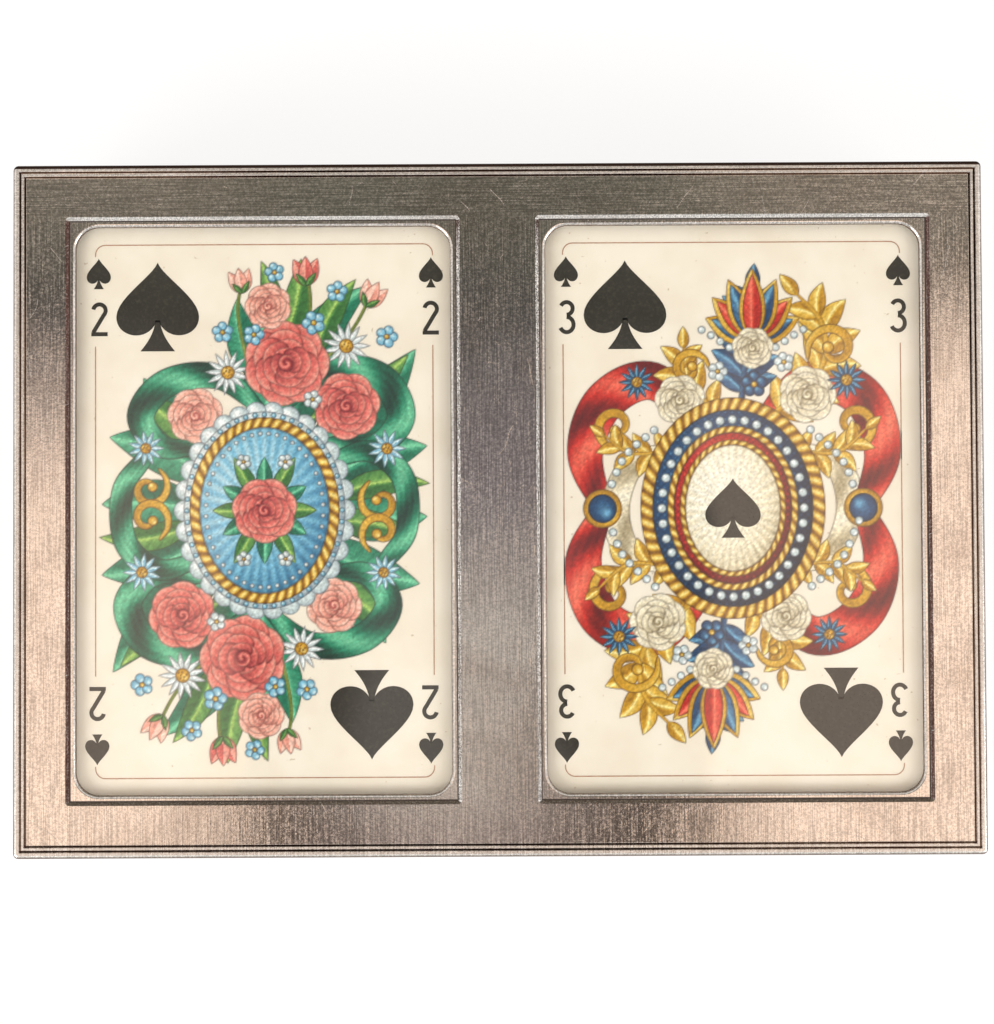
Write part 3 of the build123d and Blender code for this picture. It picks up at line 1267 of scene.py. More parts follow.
    def rope(
        self, size: Point, width: float, inks: Inks, strands: int, x: float = 0.0, y: float = 0.0
    ) -> None:
        """A twisted oval rim: its light goes up and down round it, slanted across its width.

        Args:
            size: the half width and half height of its middle line.
            width: its width.
            inks: its inks.
            strands: how many strands show.
            x: its middle across.
            y: its middle up.
        """
        where, across, up = self.near(x, y, max(size) + width)
        far = np.hypot(across / size[0], up / size[1]) + 1e-6
        slope = np.hypot(across / size[0] ** 2, up / size[1] ** 2) / far
        out = (far - 1.0) / slope
        over = out / (width / 2)
        way = np.arctan2(up / size[1], across / size[0])
        light = 0.55 + 0.4 * np.sin(way * strands + over * 1.8) - 0.3 * over**2
        self.motif(where, np.abs(out) - width / 2, inks, light)

    def beads(self, size: Point, count: int, radius: float, inks: Inks, start: float = 0.0) -> None:
        """Round beads set evenly on an oval.

        Args:
            size: the oval's half width and half height.
            count: how many beads.
            radius: a bead's radius.
            inks: their inks.
            start: the first bead's place, in beads.
        """
        for bead in range(count):
            angle = 2 * math.pi * (bead + start) / count
            self.disc(size[0] * math.cos(angle), size[1] * math.sin(angle), radius, inks)

    def string(self, points: list[Point], count: int, radius: float, inks: Inks) -> None:
        """Round beads threaded on a smooth line.

        Args:
            points: the line's points.
            count: how many beads.
            radius: a bead's radius.
            inks: their inks.
        """
        for px, py in smooth(points, count):
            self.disc(float(px), float(py), radius, inks)

    def grain(self) -> None:
        """Breaks the inks up as a litho stone does: each point a little lighter or darker."""
        dots = np.random.default_rng(7).normal(0.0, 1.0, self.cover.shape)
        steps = ((0, 0), (1, 0), (0, 1), (1, 1))
        soft = sum(np.roll(dots, step, (0, 1)) for step in steps) / 2
        grained = self.colour * (1.0 + 0.045 * soft[..., None]) + 0.01 * dots[..., None]
        self.colour = np.clip(grained, 0.0, 1.0)


Layer = Callable[[InkSheet], None]


class Drawing:
    """A card's drawing, in layers: some at both ends of the card, then some in its middle."""

    def ends(self) -> tuple[Layer, ...]:
        """Names the layers that come at both ends.

        Returns:
            The layers, the lowest first.
        """
        raise NotImplementedError

    def middle(self) -> tuple[Layer, ...]:
        """Names the layers that come once, over the others.

        Returns:
            The layers, the lowest first.
        """
        raise NotImplementedError

    def draw(self, ink: InkSheet) -> None:
        """Lays each end's layer the right way up, then turned half round, and the middle's last.

        Args:
            ink: the card's sheet.
        """
        for layer in self.ends():
            for turned in (1, -1):
                ink.turned = turned
                layer(ink)
        ink.turned = 1
        for layer in self.middle():
            layer(ink)
        ink.grain()


class Garden(Drawing):
    """The left card's drawing: a double-ended posy with green ribbons round a blue medallion."""

    def foliage(self, ink: InkSheet) -> None:
        """Broad emerald leaves with narrow spring-green ones between them, the lowest layer.

        Args:
            ink: the card's sheet.
        """
        for x, y, angle, length, width, bend in (
            (3, 8, 66, 25, 8.5, 0.08), (6, 8, 44, 24, 8, -0.06), (0, 10, 92, 24, 8, -0.05),
            (9, 4, 20, 17, 7.5, 0.07), (10, 0, -4, 15, 7, -0.06), (-8, 5, 158, 17, 7.5, -0.07),
            (-7, 8, 133, 17, 7, 0.06), (4, 20, 50, 19, 6, 0.07), (-1, 20, 104, 13, 5, 0.06),
        ):
            ink.leaf(x, y, angle, length, width, EMERALD, bend, 9)
        for x, y, angle, length, width, bend in (
            (7, 14, 33, 18, 5, -0.08), (-6, 10, 146, 16, 5, 0.08), (11, 2, 8, 14.5, 4.2, 0.08),
            (3, 26, 78, 13, 4.4, -0.06), (8, 24, 62, 13, 4, 0.07), (-9, 2, 172, 14, 4.4, 0.06),
            (1, 28, 98, 10.5, 3.4, -0.08),
        ):
            ink.leaf(x, y, angle, length, width, LEAF, bend, 7)

    def ribbons(self, ink: InkSheet) -> None:
        """Three loops of emerald satin that come out from behind the medallion.

        Args:
            ink: the card's sheet.
        """
        right = [(2, 15), (9, 21.5), (17.5, 20.5), (21, 14.5), (17, 9.8), (10, 10.5)]
        left = [(0, 15), (-7, 20.5), (-15, 19.6), (-19, 14.5), (-15.5, 9.8), (-9, 10)]
        ink.band(right, 4.7, EMERALD, (0.25, 0.3), 3.2, 0.42)
        ink.band(
            [(9, 7), (16, 9), (21.2, 5), (21.8, -3), (18.5, -8)],
            3.7, EMERALD, (0.4, 0.7), 2.6, 0.42,
        )
        ink.band(left, 4.5, EMERALD, (0.25, 0.3), 3.0, 0.42)

    def sprigs(self, ink: InkSheet) -> None:
        """Thin stems with closing buds and small blue flowers, at the card's end.

        Args:
            ink: the card's sheet.
        """
        ink.band([(4, 20), (7, 30), (6.5, 38)], 0.55, OLIVE, (1, 1), 1, 0.1, 0, 0.4)
        ink.band([(6, 20), (13, 27), (16.5, 33)], 0.55, OLIVE, (1, 1), 1, 0.1, 0, 0.4)
        ink.band([(-2, 20), (-4, 30), (-3.2, 36)], 0.55, OLIVE, (1, 1), 1, 0.1, 0, 0.4)
        ink.bud(6.5, 34.5, 92, 4.6, CORAL)
        ink.bud(15.6, 31.2, 62, 4.4, BLUSH)
        ink.bud(-3.3, 33.4, 100, 4.0, BLUSH)
        for x, y, size, turn in (
            (11.2, 33.6, 1.7, 10), (1.6, 36.6, 1.6, 30),
            (18.8, 26.6, 1.8, 0), (-6.4, 27.4, 1.7, 20),
        ):
            ink.cup(x, y, size, SKY, turn)

    def flowers(self, ink: InkSheet) -> None:
        """The posy: roses and daisies, with two gold scrolls at the sides.

        Args:
            ink: the card's sheet.
        """
        ink.scroll(17.8, 1.2, 3.6, 120, 1, GOLD, 1.3)
        ink.scroll(-17.8, 3.4, 3.4, 60, -1, GOLD, 1.3)
        ink.daisy(12.6, 25.2, 3.7, PEARL, GOLD, 13)
        ink.daisy(-5.6, 21.2, 3.5, PEARL, GOLD, 13, 12)
        ink.rose(-10.6, 14.6, 4.3, BLUSH, 20)
        ink.rose(12.6, 16.0, 5.2, CORAL, 10)
        ink.rose(3.4, 22.6, 6.6, CORAL, 0)
        ink.rose(0.6, 31.4, 3.6, BLUSH, 30)
        ink.daisy(18.8, 9.4, 3.0, SKY, GOLD, 11)
        ink.daisy(-18.2, 9.6, 2.8, SKY, GOLD, 11)
        ink.cup(7.6, 28.8, 1.9, SKY, 40)
        ink.cup(-1.6, 27.0, 1.7, SKY, 0)
        ink.cup(7.4, 17.0, 1.5, PEARL, 0)

    def medallion(self, ink: InkSheet) -> None:
        """A pale blue rayed oval in a gold rope, a scalloped collar and two rows of beads.

        Args:
            ink: the card's sheet.
        """
        count = 30
        for scallop in range(count):
            angle = 2 * math.pi * scallop / count
            ink.disc(12.3 * math.cos(angle), 15.1 * math.sin(angle), 1.65, PEARL, 1.0, 0.55)
        ink.oval((12.4, 15.2), PEARL, Ground.RAYS, lift=0.22)
        ink.beads((11.9, 14.7), 52, 0.42, SKY)
        ink.rope((10.7, 13.5), 1.6, GOLD, 46)
        ink.oval((9.9, 12.7), SKY, Ground.RAYS, lift=0.12)
        ink.beads((9.0, 11.8), 44, 0.36, PEARL, 0.5)

    def heart(self, ink: InkSheet) -> None:
        """A rose with twelve leaves and four small flowers on the medallion.

        Args:
            ink: the card's sheet.
        """
        for angle in range(0, 360, 30):
            turn = math.radians(angle)
            x, y = 2.6 * math.cos(turn), 2.6 * math.sin(turn)
            long = (6.6 if angle % 60 == 30 else 8.0) - 2.6 + 1.6 * abs(math.sin(turn))
            ink.leaf(x, y, angle, long, 2.5, EMERALD if angle % 60 else LEAF, 0, 5)
        ink.rose(0, 0, 5.0, CORAL, 15)
        for angle in (60, 120, 240, 300):
            turn = math.radians(angle)
            ink.cup(6.4 * math.cos(turn), 8.6 * math.sin(turn), 1.25, PEARL, angle)

    def ends(self) -> tuple[Layer, ...]:
        """Names the layers of the posy.

        Returns:
            The layers, the lowest first.
        """
        return self.foliage, self.ribbons, self.sprigs, self.flowers

    def middle(self) -> tuple[Layer, ...]:
        """Names the layers of the middle.

        Returns:
            The layers, the lowest first.
        """
        return self.medallion, self.heart


class Enamel(Drawing):
    """The right card's drawing: gold scrolls and red satin round a blue enamel medallion."""

    def mantle(self, ink: InkSheet) -> None:
        """Loops of cream and crimson satin at both sides, the lowest layer.

        Args:
            ink: the card's sheet.
        """
        ink.band(
            [(10, 9), (16, 6.5), (18, 0), (15.5, -6.5), (10, -9)], 4.4, CREAM, (0.4, 0.4), 2.4, 0.35
        )
        ink.band(
            [(4, 12), (12, 19.4), (20, 17), (23, 8.5), (20, 0)],
            6.6, CRIMSON, (0.4, 0.35), 3.2, 0.42,
        )
        ink.band(
            [(-4, 12), (-12, 19.5), (-19.5, 16.5), (-22.6, 8.5), (-20, 0)],
            6.4, CRIMSON, (0.4, 0.35), 3.0, 0.42,
        )

    def scrolls(self, ink: InkSheet) -> None:
        """Gold and navy acanthus plumes, and four gold scrolls.

        Args:
            ink: the card's sheet.
        """
        ink.plume([(6, 14), (13.5, 21), (14, 28), (9.5, 33.5)], 5.4, GOLD, 6)
        ink.plume([(-2.5, 15), (-7.2, 20), (-7.4, 25)], 4.4, GOLD, 4)
        ink.plume([(1.5, 17), (2.4, 26), (3.2, 34)], 5.6, NAVY, 6)
        ink.scroll(15.6, 24.4, 4.2, 200, -1, GOLD, 1.5)
        ink.scroll(-6.6, 21.4, 3.2, 0, 1, GOLD, 1.3)
        ink.scroll(18.6, 12.8, 3.9, 250, 1, GOLD, 1.5)
        ink.scroll(-17.8, 12.6, 3.7, 290, -1, GOLD, 1.5)
        ink.plume([(9, 9), (16, 8.5), (21, 12.5)], 3.8, GOLD, 4)
        ink.plume([(-9, 9), (-15.5, 8.5), (-20, 11.5)], 3.6, GOLD, 4)

    def shell(self, ink: InkSheet) -> None:
        """A fan of gold-edged palmette leaves over a string of pearls.

        Args:
            ink: the card's sheet.
        """
        for spread in (66, -66, 44, -44, 22, -22, 0):
            long = 9.8 - abs(spread) * 0.045
            ink.leaf(3.2, 26.0, 90 + spread, long + 1.1, 4.1, GOLD, 0, 0)
            ink.leaf(
                3.2, 26.2, 90 + spread, long, 2.9, NAVY if spread % 44 else CRIMSON, 0, 5, 0.06
            )
        ink.string([(-4.6, 27.4), (3.2, 23.4), (11.0, 27.4)], 12, 0.62, PEARL)
        ink.rose(3.2, 24.6, 3.2, CREAM, 10)

    def flowers(self, ink: InkSheet) -> None:
        """Cream roses, navy daisies and strings of pearls over the scrolls.

        Args:
            ink: the card's sheet.
        """
        ink.rose(11.6, 17.4, 4.4, CREAM, 0)
        ink.rose(-8.0, 16.6, 3.9, CREAM, 20)
        ink.daisy(17.6, 19.6, 3.0, NAVY, GOLD, 12)
        ink.daisy(-14.6, 19.4, 2.8, NAVY, GOLD, 12)
        ink.cup(3.4, 19.0, 2.1, NAVY, 90)
        ink.cup(-2.2, 21.0, 1.6, PEARL, 0)
        ink.cup(8.0, 22.4, 1.6, PEARL, 30)
        ink.string([(12, 12), (17, 7), (19.5, 0)], 9, 0.66, PEARL)
        ink.string([(-12, 12), (-16.5, 8), (-19.3, 2)], 8, 0.66, PEARL)
        ink.disc(20.0, 0.0, 3.0, GOLD)
        ink.disc(20.0, 0.0, 2.2, NAVY)

    def medallion(self, ink: InkSheet) -> None:
        """Ovals of navy, crimson and cream in gold ropes, with a ring of pearls.

        Args:
            ink: the card's sheet.
        """
        ink.rope((13.2, 16.0), 2.0, GOLD, 54)
        ink.oval((12.3, 15.1), NAVY, Ground.DIAPER, lift=0.04)
        ink.beads((10.9, 13.6), 36, 0.72, PEARL)
        ink.rope((9.5, 12.1), 1.1, GOLD, 44)
        ink.oval((9.0, 11.6), CRIMSON, Ground.DIAPER, lift=0.02)
        ink.rope((7.7, 10.1), 0.9, GOLD, 38)
        ink.oval((7.3, 9.7), CREAM, Ground.RAYS, lift=0.3)

    def ends(self) -> tuple[Layer, ...]:
        """Names the layers of the scrollwork.

        Returns:
            The layers, the lowest first.
        """
        return self.mantle, self.scrolls, self.shell, self.flowers

    def middle(self) -> tuple[Layer, ...]:
        """Names the layer of the middle.

        Returns:
            The layer.
        """
        return (self.medallion,)


def cells(rows: int, columns: int, start: int = 0) -> Array:
    """The cells of a grid of points, numbered from start row by row.

    Args:
        rows: how many rows of points.
        columns: how many points in a row.
        start: the first point's number.

    Returns:
        The four corners of each cell. A face looks up where the row's points run to the left of the
        way from one row to the next.
    """
    corner = np.arange((rows - 1) * columns).reshape(rows - 1, columns)[:, :-1].ravel() + start
    return np.stack([corner, corner + columns, corner + columns + 1, corner + 1], axis=1)


def flat_piece(
    name: str, points: Array, faces: list[list[int]], height: float, finish: Finish
) -> bpy.types.Object:
    """Makes a flat printed piece that rides on the lid.

    Args:
        name: its name.
        points: the places of its points in plan.
        faces: the corners of each face.
        height: how high it lies.
        finish: what it is made of.

    Returns:
        The piece, with a plan view of itself as its UV map.
    """
    mesh = bpy.data.meshes.new(name)
    spots = np.column_stack([points, np.full(len(points), height)]) * MM
    mesh.from_pydata(spots.tolist(), [], faces)
    low, high = points.min(axis=0), points.max(axis=0)
    corner = np.zeros(len(mesh.loops), dtype=np.int32)
    mesh.loops.foreach_get("vertex_index", corner)
    plan = mesh.uv_layers.new(name="OFBake")
    places = ((points - low) / (high - low).max())[corner]
    plan.data.foreach_set("uv", places.astype(np.float32).ravel())
    mesh.materials.append(finish.material())
    piece = bpy.data.objects.new(name, mesh)
    bpy.context.scene.collection.objects.link(piece)
    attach(piece, "lid")
    LOG.info("%s: %d faces, %s", name, len(faces), finish.name)
    return piece


def bezier(points: list[Point], count: int = 12) -> Array:
    """Points on one cubic Bezier curve: its points weighted by the powers of t and 1 - t.

    Args:
        points: its four points.
        count: how many points the curve gets.

    Returns:
        An array of count points.
    """
    t = np.linspace(0.0, 1.0, count)[:, None]
    a, b, c, d = (np.array(p, dtype=float) for p in points)
    return a * (1 - t) ** 3 + 3 * b * t * (1 - t) ** 2 + 3 * c * t**2 * (1 - t) + d * t**3


def arc(x: float, y: float, size: Point, start: float, end: float, count: int = 24) -> Array:
    """Points on an oval: its sizes times the angle's cosine and sine, about its middle.

    Args:
        x: its middle across.
        y: its middle up.
        size: its half width and half height.
        start: the first angle, in degrees.
        end: the last angle, in degrees.
        count: how many points.

    Returns:
        An array of count points.
    """
    way = np.radians(np.linspace(start, end, count))
    return np.column_stack([x + size[0] * np.cos(way), y + size[1] * np.sin(way)])


def stroke(path: Array, width: float) -> Array:
    """A flat stroke along a path.

    At each point the path's direction, turned left, gives the way across, and the stroke's two
    edges lie half the width to the right and to the left.

    Args:
        path: the path's points.
        width: the stroke's width.

    Returns:
        A grid of rows of two points.
    """
    way = np.gradient(path, axis=0)
    left = np.column_stack([-way[:, 1], way[:, 0]]) / np.hypot(way[:, 0], way[:, 1])[:, None]
    return np.stack([path - left * width / 2, path + left * width / 2], axis=1)


def spade(x: float, y: float, width: float, height: float) -> list[Array]:
    """A spade pip.

    Its body's edge is three cubic curves up its right side and their mirror image down its left,
    and each row of its grid runs from that edge straight to one point inside. Its stem widens
    downwards as the 1.8th power of the way down.

    Args:
        x: the place of its middle across the card.
        y: the place of its middle along the card.
        width: its width.
        height: its height.

    Returns:
        The grids of body and stem.
    """
    lobes = (
        [(0.04, -0.34), (0.10, -0.50), (0.28, -0.64), (0.52, -0.64)],
        [(0.52, -0.64), (0.75, -0.64), (1.0, -0.50), (1.0, -0.22)],
        [(1.0, -0.22), (1.0, 0.20), (0.12, 0.70), (0.0, 1.0)],
    )
    right = np.vstack([bezier(lobe)[: -1 if i < 2 else None] for i, lobe in enumerate(lobes)])
    edge = np.vstack([right, right[-2::-1] * (-1.0, 1.0), right[:1]])
    inside = np.linspace(0.0, 1.0, 5)[None, :, None]
    body = edge[:, None, :] * (1 - inside) + np.array([0.0, -0.1]) * inside
    drop = np.linspace(0.0, 1.0, 14)
    half = 0.06 + 0.36 * drop**1.8
    sides = [np.column_stack([side * half, -0.3 - 0.7 * drop]) for side in (-1.0, 1.0)]
    stem = np.stack(sides, axis=1)
    return [grid * (width / 2, height / 2) + (x, y) for grid in (body, stem)]


class Numeral(Enum):
    """The plain number printed in a card's corners."""

    TWO = 2
    THREE = 3

    def paths(self) -> list[Array]:
        """The strokes that draw the number about its middle: arcs, smooth lines and a foot.

        Returns:
            The path of each stroke.
        """
        if self is Numeral.TWO:
            bowl = arc(0.0, 1.35, (0.95, 0.95), 170, -35)
            neck = smooth([(0.62, 0.58), (-0.3, -0.95), (-0.95, -2.02)], 14)
            foot = np.array([(-1.25, -2.29), (0.0, -2.29), (1.25, -2.29)])
            return [np.vstack([bowl, neck]), foot]
        return [arc(-0.02, 1.32, (0.93, 0.97), 155, -90), arc(-0.02, -1.17, (1.05, 1.17), 90, -155)]

    def grids(self, x: float, y: float, width: float = 0.62) -> list[Array]:
        """The number's strokes.

        Args:
            x: the place of its middle across the card.
            y: the place of its middle along the card.
            width: the strokes' width.

        Returns:
            The grid of each stroke.
        """
        return [stroke(path, width) + (x, y) for path in self.paths()]


@dataclass(frozen=True)
class PrintedInk(Finish):
    """Oil-bound printing ink, rolled on thin: flat colour with a dull gloss, a little uneven where
    the paper took less of it."""

    code: str = "#24221A"
    worn: str = "#3A372C"

    def dress(self, tree: Tree, shader: bpy.types.Node) -> None:
        """Ink colour, paler in small spots.

        Args:
            tree: the material's tree.
            shader: its principled shader.
        """
        thin = noise(tree, spaced(tree, 0.45), 3.0, 0.6)
        tint = blend(tree, remap(tree, thin, 0.45, 0.75), self.code, self.worn)
        feed(
            tree, shader, Base_Color=tint, Roughness=0.42, IOR=1.5, Normal=relief(tree, thin, 0.003)
        )


@dataclass(frozen=True)
class Lithograph(PlayingCard):
    """Colour lithograph on playing card: fine-grained inks that let the paper's own tone through at
    their edges. The inks' colours and cover are the piece's own attribute, drawn on its grid."""

    def dress(self, tree: Tree, shader: bpy.types.Node) -> None:
        """Paper where there is no ink, and ink with a duller gloss where there is.

        Args:
            tree: the material's tree.
            shader: its principled shader.
        """
        ink = add(tree, "Attribute", attribute_name="ink")
        tint = blend(tree, ink.outputs["Alpha"], self.paper(tree), ink.outputs["Color"])
        uneven = noise(tree, spaced(tree, 0.8), 3.0, 0.6)
        rough = remap(tree, ink.outputs["Alpha"], 0.0, 1.0, (0.5, 0.42))
        bumped = relief(tree, uneven, 0.004)
        feed(tree, shader, Base_Color=tint, Roughness=rough, IOR=1.48, Normal=bumped)


@dataclass
class DisplayCard:
    """A playing card behind one window: its picture, spade pips, numbers and border line.

    Places are measured from the window's middle, and each mark comes twice, the second turned half
    round.
    """

    side: str
    middle: float
    numeral: Numeral
    drawing: Drawing
    face: float = 33.1
    film: float = 0.03
    border: Point = (25.9, 40.9)
    corner: float = 1.5
    line: float = 0.17
    pips: tuple[tuple[float, float, float, float], ...] = (
        (-25.4, 36.5, 3.7, 4.7),
        (25.65, 36.5, 3.7, 4.7),
        (-16.35, 31.35, 12.7, 13.65),
    )
    numbers: tuple[Point, ...] = ((-25.3, 29.5), (25.6, 29.5))
    middle_pip: tuple[float, float, float, float] = (0.0, 0.0, 8.5, 9.1)

    def both_ends(self, grids: list[Array]) -> list[Array]:
        """Adds the same marks at the card's other end.

        Args:
            grids: the marks at one end.

        Returns:
            They, and the same turned half round the card's middle.
        """
        return grids + [-grid for grid in grids]

    def lay(self, name: str, grids: list[Array], finish: Finish, lift: float = 1.0) -> None:
        """Makes one piece of several grids, with the points that fall together made one.

        Where a grid's last column is one point, its cells there are triangles.

        Args:
            name: the piece's name, before its side.
            grids: the grids of points.
            finish: its ink.
            lift: how many ink films it lies above the card.
        """
        points = np.vstack([grid.reshape(-1, 2) for grid in grids]) + (self.middle, 0.0)
        starts = np.cumsum([0] + [grid.shape[0] * grid.shape[1] for grid in grids])
        faces = np.vstack([cells(*grid.shape[:2], start) for grid, start in zip(grids, starts)])
        points, number = np.unique(points.round(4), axis=0, return_inverse=True)
        faces = number.reshape(-1)[faces]
        whole = faces[:, 2] != faces[:, 3]
        corners = faces[whole].tolist() + faces[~whole, :3].tolist()
        flat_piece(f"{name}_{self.side}", points, corners, self.face + lift * self.film, finish)

    def marks(self) -> None:
        """The spade pips and numbers at both ends."""
        grids = [grid for pip in self.pips for grid in spade(*pip)]
        grids += [grid for number in self.numbers for grid in self.numeral.grids(*number)]
        self.lay("card_pips", self.both_ends(grids), PrintedInk("black_printing_ink"))
        if self.numeral is Numeral.THREE:
            self.lay(
                "card_middle_pip", spade(*self.middle_pip), PrintedInk("black_middle_ink"), 2.0
            )

    def frame_line(self) -> None:
        """The thin line round the card, which leaves room for the small pips and numbers."""
        x, y, r = self.border[0], self.border[1], self.corner
        corners = [arc(x - r, y - r, (r, r), 0, 90, 8), arc(r - x, y - r, (r, r), 90, 180, 8)]
        end = np.vstack([[(x, 39.1)], *corners, [(-x, 39.1)]])
        side = np.array([(x, -25.3), (x, 0.0), (x, 25.3)])
        grids = [stroke(end, self.line), stroke(side, self.line)]
        self.lay(
            "card_border",
            self.both_ends(grids),
            PrintedInk("brown_printing_ink", "#B4866B", "#CDAA90"),
        )

    def picture(self) -> None:
        """The drawing, on the cells of its grid that have ink in them."""
        ink = InkSheet()
        self.drawing.draw(ink)
        across, up = np.meshgrid(ink.x + self.middle, ink.y, indexing="ij")
        cover = ink.cover.T
        faces = cells(*across.shape)
        faces = faces[(cover.ravel()[faces] > 0.003).any(axis=1)]
        used, number = np.unique(faces, return_inverse=True)
        points = np.column_stack([across.ravel(), up.ravel()])[used]
        piece = flat_piece(
            f"card_picture_{self.side}",
            points,
            number.reshape(faces.shape).tolist(),
            self.face + self.film,
            Lithograph(f"colour_lithograph_{self.side}"),
        )
        tints = to_linear(ink.colour.transpose(1, 0, 2).reshape(-1, 3)[used])
        alpha = np.clip(cover.ravel()[used], 0.0, 1.0)
        colours = np.column_stack([tints, alpha]).astype(np.float32)
        layer = piece.data.color_attributes.new(name="ink", type="FLOAT_COLOR", domain="POINT")
        layer.data.foreach_set("color", colours.ravel())

    def build(self) -> None:
        """Prints the card."""
        self.picture()
        self.marks()
        self.frame_line()


def wall_silver(name: str) -> SatinSilver:
    """The silver of the side walls: the same sheet, less rubbed, duller and with less grain.

    Args:
        name: the material's name.

    Returns:
        The finish.
    """
    return SatinSilver(name, roughness=0.1, mottle=0.1, fresh="#D8D3CC", tarnished="#9C9186")


def dress_node(name: str, finish: Finish) -> None:
    """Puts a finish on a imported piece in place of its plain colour.

    Args:
        name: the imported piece.
        finish: what it is made of.
    """
    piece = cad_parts[name]
    made = finish.material()
    for place in piece.material_slots:
        place.material = made
    LOG.info("%s: %s", name, finish.name)


@dataclass
class Lid:
    """The lid: silver plate and band, two framed windows, and the wooden parts inside."""

    middles: tuple[float, float] = (-35.9, 35.9)

    def cards(self) -> None:
        """Prints the two cards behind the windows."""
        DisplayCard("left", self.middles[0], Numeral.TWO, Garden()).build()
        DisplayCard("right", self.middles[1], Numeral.THREE, Enamel()).build()

    def dress(self) -> None:
        """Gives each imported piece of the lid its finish."""
        dress_node("lid_top_plate", LidSilver("silver_lid_plate", mottle=0.32))
        dress_node("lid_side_band", wall_silver("silver_lid_band"))
        dress_node(
            "lid_hinge_knuckles", SatinSilver("silver_lid_knuckles", wave=0.0, roughness=0.16)
        )
        for side in ("left", "right"):
            dress_node(
                "window_bezel_" + side, BezelSilver("silver_bezel_" + side, Grain.ALONG_Y, 0.02)
            )
            dress_node("window_glass_" + side, ClearGlass("sheet_glass_" + side))
            dress_node("display_card_" + side, PlayingCard("playing_card_" + side))
            dress_node("card_pad_" + side, GreyBoard("grey_board_" + side))
        dress_node("lid_core_frame", Mahogany("mahogany_core"))
        dress_node(
            "lid_inner_panel", Mahogany("mahogany_lid_panel", light="#93502C", dark="#5A2A12")
        )
        dress_node("lid_panel_screws", TurnedBrass("turned_brass"))


@dataclass
class Base:
    """The base: silver band, wooden lining and divider, felt floors, and the baize foot pad."""

    def dress(self) -> None:
        """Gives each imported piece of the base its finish."""
        dress_node("base_side_band", wall_silver("silver_base_band"))
        dress_node(
            "base_hinge_knuckles", SatinSilver("silver_base_knuckles", wave=0.0, roughness=0.16)
        )
        dress_node("hinge_pin", DrawnWire("steel_wire"))
        dress_node("base_board", Mahogany("mahogany_board"))
        for side, grain in (
            ("front", Grain.ALONG_X),
            ("back", Grain.ALONG_X),
            ("left", Grain.ALONG_Y),
            ("right", Grain.ALONG_Y),
        ):
            dress_node("lining_" + side, Mahogany("mahogany_lining_" + side, grain))
        dress_node(
            "well_divider", Mahogany("mahogany_divider", Grain.ALONG_Y, "#7E4226", "#4C220F")
        )
        for side in ("left", "right"):
            dress_node("well_floor_" + side, WoolFelt("green_felt_" + side))
        dress_node("foot_pad", WoolFelt("green_baize", "#275A3C", "#143821"))


# The ceiling from front to back: each grey's place on the colour ramp, and its colour.
CEILING = (
    (0.06, "#AA948D"),
    (0.11, "#DED1C6"),
    (0.27, "#E6DAD0"),
    (0.39, "#D2C8BF"),
    (0.45, "#BEB4AF"),
    (0.52, "#9B9192"),
    (0.6, "#8D8384"),
    (0.73, "#86807E"),
    (0.8, "#4E4B46"),
    (0.87, "#79766C"),
    (0.95, "#7C776A"),
)


